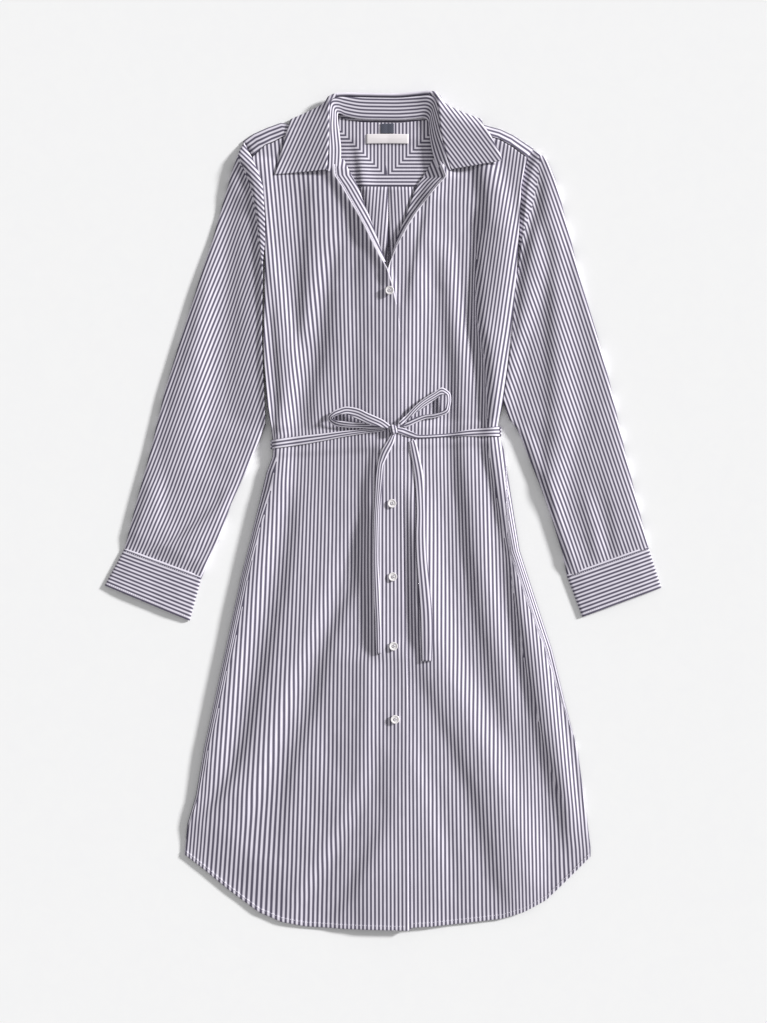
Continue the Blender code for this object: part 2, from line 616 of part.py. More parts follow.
def make_collar(below):
    stations = collar_stations()
    foot, roll, edge, drop = stations[:, 0:3], stations[:, 3:6], stations[:, 6:9], stations[:, 9]
    rise = roll - foot
    length = np.linalg.norm(rise, axis=1, keepdims=True)
    stand = [foot + rise * k for k in (0.0, 0.3, 0.6, STAND_SHARE)]
    make_stand = shell("collar_stand", np.stack(stand, 1), INSIDE, COLLAR_WALL)

    outward = rise[:, :2] / np.linalg.norm(rise[:, :2], axis=1, keepdims=True)
    tucked = np.clip((drop - 1.6) / 3.0, 0, 1)
    rows = [foot + rise * (STAND_SHARE + 0.5 / length)]
    for w in (0.0, 0.05, 0.1, 0.17, 0.26, 0.4, 0.6, 0.8, 1.0):
        plan = roll[:, :2] * (1 - w) + edge[:, :2] * w
        plan = plan + outward * (ROLL_BULGE * tucked * np.exp(-((w - 0.05) / 0.06) ** 2))[:, None]
        z = edge[:, 2] + (roll[:, 2] - edge[:, 2]) * (1 - w) ** drop
        rows.append(np.concatenate([plan, z[:, None]], 1))
    fall = np.stack(rows, 1)
    over = drop < 2.0
    top = surface_under(below)
    for i in range(len(fall)):
        if over[i]:
            fall[i:i + 1, 2:] = settle(fall[i:i + 1, 2:], top, COLLAR_WALL / 2 + 2 * GAP)
    make_fall = shell("collar_fall", fall, STRIPED, COLLAR_WALL)
    return make_stand, make_fall


# ---- belt ----

def ribbon_grid(path, widths, step=11.0):
    """Three points across a ribbon's plan, at even steps down its path."""
    path = np.asarray(path, float)
    length = np.linalg.norm(np.diff(path, axis=0), axis=1).sum()
    t = np.linspace(0, 1, max(3, int(round(length / step)) + 1))
    joined = along(np.column_stack([path, widths]), t)
    middle, width = joined[:, :2], joined[:, 2:]
    ahead = np.gradient(middle, axis=0)
    ahead = ahead / np.linalg.norm(ahead, axis=1, keepdims=True)
    side = np.stack([-ahead[:, 1], ahead[:, 0]], 1)
    rows = [middle + side * width * k for k in (-0.5, 0.0, 0.5)]
    plan = np.stack(rows, 1)
    return np.concatenate([plan, np.zeros(plan.shape[:2] + (1,))], -1)


def make_belt(fronts):
    top = surface_under(fronts)
    right = [row for row in BELT if row[0] < KNOT[0]]
    left = [row for row in BELT if row[0] > KNOT[0]]
    for name, rows in (("belt_right", right), ("belt_left", left)):
        grid = ribbon_grid([row[:2] for row in rows], [row[2] for row in rows])
        panel(name, settle(grid, top, 1.5 * GAP), STRIPED, BELT_WALL)

    low, high = BELT[0][0], BELT[-1][0]
    under = THIN_WALL / 2
    ends = [(-1.0, 5.2), (-2.0, 4.2), (-2.2, 2.4), (-1.4, 1.0), (1.2, under)]
    path = [(low + dx, z) for dx, z in ends]
    path += [(x, under) for x in np.linspace(low + 20, high - 20, 12)]
    path += [(high - dx, z) for dx, z in reversed(ends)]
    grid = []
    for x, z in path:
        y = belt_back_y(x)
        grid.append([(x, y + k * BELT_WIDTH, z) for k in (-0.5, 0.0, 0.5)])
    shell("belt_back", np.array(grid), STRIPED, THIN_WALL)


def make_bow(fronts):
    top = surface_under(fronts)
    for name, table in (("bow_loop_right", RIGHT_LOOP), ("bow_loop_left", LEFT_LOOP)):
        table = np.array(table, float)
        at = np.linspace(0, len(table) - 1, 25)
        index = np.arange(len(table))
        ring = np.stack([curve(at, index, table[:, k]) for k in range(6)], -1)
        grid = np.stack([ring[:, :3], (ring[:, :3] + ring[:, 3:]) / 2, ring[:, 3:]], 1)
        for row in grid:
            for point in row:
                point[2] += top(point[0], point[1], 3.0)
        shell(name, grid, STRIPED, THIN_WALL)
    for name, table in (("belt_tail_right", RIGHT_TAIL), ("belt_tail_left", LEFT_TAIL)):
        path = [((low + high) / 2, y) for y, low, high in table]
        widths = [high - low for y, low, high in table]
        panel(name, settle(ribbon_grid(path, widths), top, 1.5 * GAP), STRIPED, BELT_WALL)
    wide, deep, high = KNOT_SIZE
    base = top(KNOT[0], KNOT[1], wide / 4) + GAP
    bpy.ops.mesh.primitive_cube_add(size=METRES)
    knot = bpy.context.object
    knot.name = "belt_knot"
    for vertex in knot.data.vertices:
        vertex.co = (vertex.co.x * wide * 1.2, vertex.co.y * deep * 1.2, vertex.co.z * high * 1.15)
    knot.location = (KNOT[0] * METRES, KNOT[1] * METRES, (base + high / 2) * METRES)
    soft = knot.modifiers.new("soft", "SUBSURF")
    soft.levels = 2
    soft.render_levels = 2
    knot.data.materials.append(new_material(STRIPED))
    knot.data.shade_smooth()
    bpy.context.collection.objects.unlink(knot)
    bpy.data.collections["shirt_dress"].objects.link(knot)


# ---- trim ----

def make_button(name, x, y, top):
    """Turned disc with a raised rim."""
    radius, height = BUTTON_DIAMETER / 2, BUTTON_THICKNESS
    profile = [
        (0, 0.75 * height), (0.56 * radius, 0.75 * height), (0.74 * radius, height),
        (0.9 * radius, 0.95 * height), (radius, 0.6 * height), (radius, 0.3 * height),
        (0.86 * radius, 0), (0, 0),
    ]
    mesh = bpy.data.meshes.new(name)
    edges = [(i, i + 1) for i in range(len(profile) - 1)]
    mesh.from_pydata([(r * METRES, 0, z * METRES) for r, z in profile], edges, [])
    button = new_object(name, mesh, SHELL)
    base = top(x, y, 0.8 * radius) + GAP
    button.location = (x * METRES, y * METRES, base * METRES)
    turn = button.modifiers.new("turn", "SCREW")
    turn.steps = 16
    turn.render_steps = 16
    turn.use_merge_vertices = True
    turn.merge_threshold = 0.00001
    turn.use_smooth_shade = True


def make_trim(fronts, yoke):
    top = surface_under(fronts)
    for number, (x, y) in enumerate(BUTTONS, 1):
        make_button("button_%d" % number, x, y, top)
    inside = surface_under([yoke])
    for name, box, spec in (("neck_label", LABEL, WOVEN), ("hanger_loop", HANGER_TAPE, TAPE)):
        x0, x1, y0, y1 = box
        x, y = np.meshgrid(np.linspace(x0, x1, 6), np.linspace(y1, y0, 4))
        grid = np.stack([x, y, np.zeros_like(x)], -1)
        panel(name, settle(grid, inside, 1.2 * GAP, 2.0), spec, TRIM_WALL)


def main():
    for thing in list(bpy.data.objects):
        bpy.data.objects.remove(thing)
    bpy.context.scene.collection.children.link(bpy.data.collections.new("shirt_dress"))
    make_back()
    yoke = make_yoke()
    fronts = make_fronts()
    make_facing("facing_right", RIGHT_FACING)
    make_facing("facing_left", LEFT_FACING)
    make_sleeves()
    make_cuffs()
    make_collar(list(fronts) + [yoke])
    make_belt(fronts)
    make_bow(fronts)
    make_trim(fronts, yoke)


main()
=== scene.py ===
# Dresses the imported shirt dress: striped poplin, sewing, buttons, label and belt, with camera, floor and light.
# The dress lies on z = 0, front side up, its collar towards +Y. Tables are in millimetres.

import math

import bmesh
import bpy
import numpy as np
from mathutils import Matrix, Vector
from mathutils.bvhtree import BVHTree


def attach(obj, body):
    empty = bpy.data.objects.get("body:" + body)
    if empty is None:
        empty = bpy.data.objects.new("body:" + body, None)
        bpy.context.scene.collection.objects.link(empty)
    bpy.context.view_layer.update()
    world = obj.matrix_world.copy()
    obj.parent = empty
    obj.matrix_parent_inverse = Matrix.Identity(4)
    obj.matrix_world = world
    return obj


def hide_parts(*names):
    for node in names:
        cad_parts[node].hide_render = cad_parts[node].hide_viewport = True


mm = 0.001
scene = bpy.context.scene
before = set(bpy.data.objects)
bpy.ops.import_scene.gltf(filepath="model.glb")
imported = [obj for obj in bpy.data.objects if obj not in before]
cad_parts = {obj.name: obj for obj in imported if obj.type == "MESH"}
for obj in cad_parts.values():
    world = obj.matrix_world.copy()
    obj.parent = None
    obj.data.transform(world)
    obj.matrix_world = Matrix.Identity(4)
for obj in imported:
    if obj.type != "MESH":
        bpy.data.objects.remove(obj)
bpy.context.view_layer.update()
print("packed model loaded:", len(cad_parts), "nodes")


# Numbers and curves

def smooth(t):
    t = np.clip(t, 0.0, 1.0)
    return t * t * (3.0 - 2.0 * t)


def mix(a, b, t):
    return a + (b - a) * t


def between(y, low, rise, high, fall):  # 1 between two heights, softly 0 beyond them
    return smooth((y - low) / rise) * smooth((high - y) / fall)


def rounded(t):  # quarter circle: 0 at an edge, 1 where the cloth is level
    return np.sqrt(np.clip(1 - (1 - np.clip(t, 0, 1)) ** 2, 0, 1))


def averaged(values, count):  # running mean down the rows, the end rows repeated
    half = count // 2
    padded = np.concatenate([values[:1]] * half + [values] + [values[-1:]] * half)
    return sum(padded[i:i + len(values)] for i in range(count)) / count


def reached(points):  # length along a line at each of its points
    steps = np.linalg.norm(np.diff(points, axis=0), axis=1)
    return np.concatenate([[0.0], np.cumsum(steps)])


def curve(at, knots, values):  # cubic through the points, flat outside them
    order = np.argsort(knots)
    k = np.asarray(knots, float)[order]
    v = np.asarray(values, float)[order]
    slope = np.gradient(v, k)
    at = np.clip(np.asarray(at, float), k[0], k[-1])
    i = np.clip(np.searchsorted(k, at) - 1, 0, len(k) - 2)
    width = k[i + 1] - k[i]
    t = (at - k[i]) / width
    a = v[i] * (1 + 2 * t) * (1 - t) ** 2 + v[i + 1] * t * t * (3 - 2 * t)
    b = slope[i] * t * (1 - t) ** 2 - slope[i + 1] * t * t * (1 - t)
    return a + b * width


def smoothRows(table, at):  # a table's columns, by curve between its rows
    table = np.asarray(table, float)
    return np.stack([curve(at, np.arange(len(table)), column) for column in table.T], -1)


def lineY(table, x, column=1):
    return np.interp(x, [row[0] for row in table], [row[column] for row in table])


def edgeX(table, y, column=1):  # rows of the table run down the dress
    return lineY(table[::-1], y, column)


def along(points, t):
    points = np.asarray(points, float)
    reach = reached(points)
    return np.stack([np.interp(t, reach / reach[-1], column) for column in points.T], -1)


def patch(top, bottom, start, end, s, t):  # surface between four edge curves
    top, bottom = along(top, s)[None], along(bottom, s)[None]
    start, end = along(start, t)[:, None], along(end, t)[:, None]
    s, t = s[None, :, None], t[:, None, None]
    corners = (1 - s) * (1 - t) * top[:, :1] + s * (1 - t) * top[:, -1:]
    corners = corners + (1 - s) * t * bottom[:, :1] + s * t * bottom[:, -1:]
    return (1 - s) * start + s * end + (1 - t) * top + t * bottom - corners


def hills(x, y, size, seed):  # soft random hills between -1 and 1, the same each run
    x, y = np.broadcast_arrays(np.asarray(x, float), np.asarray(y, float))
    table = np.random.default_rng(seed).uniform(-1, 1, (64, 64))
    u, v = x / size + 200.0, y / size + 200.0
    i, j = np.floor(u).astype(int), np.floor(v).astype(int)
    s, t = smooth(u - i), smooth(v - j)
    a, b = table[i % 64, j % 64], table[(i + 1) % 64, j % 64]
    c, d = table[i % 64, (j + 1) % 64], table[(i + 1) % 64, (j + 1) % 64]
    return mix(mix(a, b, s), mix(c, d, s), t)


def leanShift(y, table):  # how far stripes have leaned in x at each y: table of y and degrees
    ys = np.arange(-620.0, 621.0, 2.0)
    slope = np.tan(np.radians(lineY(table, ys)))
    return np.interp(y, ys, np.cumsum(slope) * 2.0)


# Materials

def hexColour(text):  # sRGB hex to the linear colour that a shader takes
    parts = [int(text[i:i + 2], 16) / 255 for i in (1, 3, 5)]
    return [c / 12.92 if c <= 0.04045 else ((c + 0.055) / 1.055) ** 2.4 for c in parts] + [1.0]


def addNode(tree, kind, inputs=None, **settings):
    node = tree.nodes.new(kind)
    for name, value in settings.items():
        setattr(node, name, value)
    for name, value in (inputs or {}).items():
        if isinstance(value, bpy.types.NodeSocket):
            tree.links.new(value, node.inputs[name])
        else:
            node.inputs[name].default_value = value
    return node


def newMaterial(name, roughness):
    material = bpy.data.materials.new(name)
    material.use_nodes = True
    shader = material.node_tree.nodes["Principled BSDF"]
    shader.inputs["Roughness"].default_value = roughness
    return material, material.node_tree, shader


poplin = {
    "repeat": 4.66,          # one dark and one light stripe, dyed in the yarn
    "dark": "#585365",
    "light": "#e2dde9",
    "softEdge": 0.9,         # a stripe's edge wanders by a few yarns
    "yarn": 0.9,             # real yarns are 0.2 mm, drawn coarser so that they show
    "slub": 14.0,            # length of a thick or thin stretch of yarn
    "roughness": 0.82,
}


def poplinMaterial():  # plain-woven cotton: matt, a little sheen, thick and thin yarns along the stripes
    p = poplin
    material, tree, shader = newMaterial("yarnDyedCottonPoplin", p["roughness"])
    cloth = addNode(tree, "ShaderNodeUVMap", uv_map="cloth")
    across = addNode(tree, "ShaderNodeSeparateXYZ", {"Vector": cloth.outputs["UV"]})
    turned = addNode(tree, "ShaderNodeUVMap", uv_map="mitre")
    mitre = addNode(tree, "ShaderNodeSeparateXYZ", {"Vector": turned.outputs["UV"]})
    place = addNode(tree, "ShaderNodeMath", {0: across.outputs["X"], 1: mitre.outputs["X"]}, operation="MINIMUM")
    wave = addNode(tree, "ShaderNodeMath", {0: place.outputs[0], 1: p["repeat"] * mm / 2}, operation="PINGPONG")
    middle, soft = p["repeat"] * mm / 4 * 1.06, p["softEdge"] * mm / 2
    stripe = addNode(tree, "ShaderNodeMapRange", {
        "Value": wave.outputs[0], "From Min": middle - soft, "From Max": middle + soft})
    colour = addNode(tree, "ShaderNodeMix", {
        "Factor": stripe.outputs["Result"], 6: hexColour(p["dark"]), 7: hexColour(p["light"])}, data_type="RGBA")
    scaled = addNode(tree, "ShaderNodeMapping", {
        "Vector": cloth.outputs["UV"], "Scale": (1 / (p["yarn"] * mm), 1 / (p["slub"] * mm), 1)})
    slubs = addNode(tree, "ShaderNodeTexNoise", {"Vector": scaled.outputs["Vector"], "Scale": 1.0, "Detail": 1.0})
    shade = addNode(tree, "ShaderNodeMapRange", {
        "Value": slubs.outputs["Fac"], "From Min": 0.3, "From Max": 0.7, "To Min": 0.94, "To Max": 1.05})
    woven = addNode(tree, "ShaderNodeVectorMath", {
        0: colour.outputs[2], "Scale": shade.outputs["Result"]}, operation="SCALE")
    tree.links.new(woven.outputs["Vector"], shader.inputs["Base Color"])
    bump = addNode(tree, "ShaderNodeBump", {
        "Height": slubs.outputs["Fac"], "Strength": 0.12, "Distance": 0.0002})
    tree.links.new(bump.outputs["Normal"], shader.inputs["Normal"])
    shader.inputs["Sheen Weight"].default_value = 0.08
    shader.inputs["Sheen Roughness"].default_value = 0.5
    shader.inputs["Specular IOR Level"].default_value = 0.3
    return material


def mottledMaterial(name, roughness, scale, low, high, strength):  # two shades of one finish, by place
    material, tree, shader = newMaterial(name, roughness)
    place = addNode(tree, "ShaderNodeTexCoord")
    grain = addNode(tree, "ShaderNodeTexNoise", {
        "Vector": place.outputs["Object"], "Scale": scale, "Detail": 3.0, "Distortion": 1.0})
    colour = addNode(tree, "ShaderNodeMix", {
        "Factor": grain.outputs["Fac"], 6: hexColour(low), 7: hexColour(high)}, data_type="RGBA")
    tree.links.new(colour.outputs[2], shader.inputs["Base Color"])
    bump = addNode(tree, "ShaderNodeBump", {
        "Height": grain.outputs["Fac"], "Strength": strength, "Distance": 0.0001})
    tree.links.new(bump.outputs["Normal"], shader.inputs["Normal"])
    return material, shader


def ribbedMaterial(name, roughness, ribs, direction, low, high, strength):  # woven ribs along or across a tape
    material, tree, shader = newMaterial(name, roughness)
    cloth = addNode(tree, "ShaderNodeUVMap", uv_map="cloth")
    wave = addNode(tree, "ShaderNodeTexWave", {
        "Vector": cloth.outputs["UV"], "Scale": ribs, "Distortion": 0.3, "Detail": 1.0}, bands_direction=direction)
    colour = addNode(tree, "ShaderNodeMix", {
        "Factor": wave.outputs["Fac"], 6: hexColour(low), 7: hexColour(high)}, data_type="RGBA")
    tree.links.new(colour.outputs[2], shader.inputs["Base Color"])
    bump = addNode(tree, "ShaderNodeBump", {
        "Height": wave.outputs["Fac"], "Strength": strength, "Distance": 0.0002})
    tree.links.new(bump.outputs["Normal"], shader.inputs["Normal"])
    return material


stripedCloth = poplinMaterial()
# polyester thread: two plies twisted together, with a faint glint
thread = mottledMaterial("spunPolyesterThread", 0.55, 1500.0, "#d5d0de", "#f5f2f8", 0.3)[0]
# shell: turned and polished, cloudy layers under a clear gloss
shell, shellShader = mottledMaterial("polishedTrocasShell", 0.24, 240.0, "#d6d0d6", "#f8f5f3", 0.05)
shellShader.inputs["Coat Weight"].default_value = 0.3
shellShader.inputs["Coat Roughness"].default_value = 0.12
# damask label: satin ribs 1 mm apart; twill tape: slanting ribs 1.2 mm apart
damask = ribbedMaterial("wovenDamaskLabel", 0.6, 310.0, "Y", "#e6dfe3", "#f6f1f2", 0.15)
twill = ribbedMaterial("cottonTwillTape", 0.85, 260.0, "DIAGONAL", "#3a3c49", "#5b5d6c", 0.4)
print("materials made")


# Cloth meshes

noMitre = 1e6


def grid(points, u, v, mitre=noMitre, ring=False, flip=False):
    rows, columns = points.shape[:2]
    index = np.arange(rows * columns).reshape(rows, columns)
    left = index if ring else index[:, :-1]
    right = np.roll(index, -1, 1) if ring else index[:, 1:]
    faces = np.stack([left[:-1], left[1:], right[1:], right[:-1]], -1).reshape(-1, 4)

    def atCorners(values):
        values = np.asarray(values, float)
        if values.ndim == 3:
            return values.reshape(-1, 4)
        return np.broadcast_to(values, (rows, columns)).ravel()[faces]

    cloth = np.stack([atCorners(u), atCorners(v), atCorners(mitre)], -1)
    if flip:
        faces, cloth = faces[:, ::-1], cloth[:, ::-1]
    return points.reshape(-1, 3), faces, cloth


def corners(values):
    return np.stack([values[:-1, :-1], values[1:, :-1], values[1:, 1:], values[:-1, 1:]], -1)


def sheetMesh(name, *grids):
    start, points, faces, cloth = 0, [], [], []
    for p, f, c in grids:
        points.append(p)
        faces.append(f + start)
        cloth.append(c)
        start += len(p)
    mesh = bpy.data.meshes.new(name)
    mesh.from_pydata((np.concatenate(points) * mm).tolist(), [], np.concatenate(faces).tolist())
    cloth = np.concatenate(cloth).reshape(-1, 3) * mm
    mesh.uv_layers.new(name="cloth").data.foreach_set("uv", cloth[:, :2].astype(np.float32).ravel())
    second = np.stack([cloth[:, 2], cloth[:, 1]], -1)
    mesh.uv_layers.new(name="mitre").data.foreach_set("uv", second.astype(np.float32).ravel())
    mesh.update()
    return mesh


def faceOutwards(mesh, merge=0.0):  # merged points (mm) also close the open ends
    shape = bmesh.new()
    shape.from_mesh(mesh)
    if merge:
        bmesh.ops.remove_doubles(shape, verts=shape.verts, dist=merge * mm)
        bmesh.ops.holes_fill(shape, edges=[edge for edge in shape.edges if edge.is_boundary])
    bmesh.ops.recalc_face_normals(shape, faces=shape.faces)
    shape.to_mesh(mesh)
    shape.free()


def newPiece(name, mesh, material, slot, nodes=()):
    mesh.materials.append(material)
    mesh.shade_smooth()
    piece = bpy.data.objects.new(name, mesh)
    scene.collection.objects.link(piece)
    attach(piece, "root")
    if nodes:
        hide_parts(*nodes)
    return piece


def clothPiece(name, mesh, node, thickness=0.7, side=-1.0, material=None, slot="striped_cotton"):
    piece = newPiece(name, mesh, material or stripedCloth, slot, (node,) if node else ())
    wall = piece.modifiers.new("wall", "SOLIDIFY")
    wall.thickness = thickness * mm
    wall.offset = side
    return piece


def surfaceUnder(things):  # highest point of these pieces at x, y
    bpy.context.view_layer.update()
    graph = bpy.context.evaluated_depsgraph_get()
    trees = [BVHTree.FromObject(thing, graph) for thing in things]
    down = Vector((0, 0, -1))

    def top(x, y, reach=0.0):
        best = 0.0
        near = ((0, 0), (reach, 0), (-reach, 0), (0, reach), (0, -reach)) if reach else ((0, 0),)
        for dx, dy in near:
            for tree in trees:
                hit = tree.ray_cast(Vector(((x + dx) * mm, (y + dy) * mm, 0.2)), down)[0]
                if hit is not None:
                    best = max(best, hit.z / mm)
        return best

    return top


def topsAt(top, points, reach=0.0):
    heights = [top(x, y, reach) for x, y in points[..., :2].reshape(-1, 2)]
    return np.reshape(heights, points.shape[:-1])


# Body sizes shared by the panels

body = {
    "wall": 1.2,             # room that each layer takes
    "panelGap": 0.8,
    "softness": 5.0,
    "armholeLift": 1.9,
    "lip": 1.6,              # rounding of the side edges
    "lipAtSleeve": 1.2,
    "rollRight": 3.0,
    "rollLeft": 28.0,        # the skirt falls away softly on this side
    "rollChest": 1.6,        # the chest lies against the sleeve
    "pleatCentre": 7.0,
    "pleatHalf": 18.0,
    "pleatShoulder": 8.0,
    "pleatSlope": 22.0,
    "pleatSlopeBelow": 75.0,
    "layer": 1.5,
    "yokeSeam": 431.0,
    "yokeCorner": 469.0,
    "neckLift": 2.2,         # the yoke rises over the collar's hidden part
    "backBeltLift": 1.7,
    "backBeltWidth": 12.0,
    "neckRoll": 5.5,         # the fronts stand up along the open neck
    "neckRollWidth": 12.0,
    "armhole": (90.0, 25.0, 485.0, 25.0),      # y of its foot and top, each with its soft length
    "openNeck": (265.0, 60.0, 476.0, 24.0),
    "chestFoot": 95.0,
    "hemEase": 80.0,         # the cloth flattens over this length above the hem
    "beltPress": 0.3,        # the belt presses the folds down
    "beltPressWidth": 13.0,
    "foldStrength": 1.6,
    "crumple": 0.35,
    "foldPull": 0.25,        # stripes draw together up a fold's far side
}

# side edges and front edges: y, x
rightSide = [
    (491, -186), (469, -175), (451, -167), (432, -161), (391, -157), (314, -157),
    (229, -159), (194, -158), (144, -154), (112, -149), (88, -146), (72, -147),
    (51, -155), (9, -165), (-41, -177), (-92, -190), (-172, -207), (-251, -224),
    (-315, -238), (-379, -249), (-416, -260), (-456, -264),
]
leftSide = [
    (481, 200), (469, 192), (452, 188), (432, 184), (405, 183), (351, 180),
    (262, 175), (219, 172), (177, 166), (147, 161), (116, 153), (98, 155),
    (81, 161), (29, 169), (-16, 176), (-53, 182), (-118, 203), (-185, 225),
    (-251, 241), (-319, 259), (-371, 266), (-400, 270), (-447, 276), (-459, 276),
]
rightFrontEdge = [
    (517, -66), (480, -61), (455, -64), (445, -63), (442, -61), (430, -53), (416, -45), (397, -34), (377, -23),
    (349, -9), (321, 6), (300, 13), (271, 19), (237, 23), (177, 25), (81, 25), (-118, 28), (-271, 34), (-557, 34),
]
leftFrontEdge = [
    (515, 72), (497, 71.5), (473, 71.5), (454, 79), (443, 83), (436, 75.5), (414, 57), (394, 42), (377, 31),
    (352, 18), (330, 9), (300, 2), (270, -4), (-557, -2),
]
hem = [  # x, y
    (-264, -456), (-237, -477), (-203, -505), (-165, -533), (-135, -546), (-103, -552),
    (-51, -555), (34, -557), (36, -553.5), (66, -552), (113, -547), (157, -542), (187, -533),
    (217, -517), (244, -491), (276, -459),
]
beltLine = [  # over the front: x, y, width, stripes across
    (-148, 88, 12, 2.7), (-110, 93.5, 12, 2.6), (-82, 97.4, 10, 2.5), (-53, 102, 8, 2.5), (-24, 105.7, 6, 2.5),
    (4, 108.5, 4.8, 2.5), (18, 107.5, 7, 2.0), (26, 105.5, 9, 2.0), (38, 101, 8, 1.8),
    (48, 98.5, 5, 1.5), (70, 99.5, 4.5, 1.5),
    (89, 101, 4.5, 1.5), (116, 103.5, 9, 2.2), (136, 104.5, 11.5, 2.8), (156, 105.5, 14, 3.0),
]
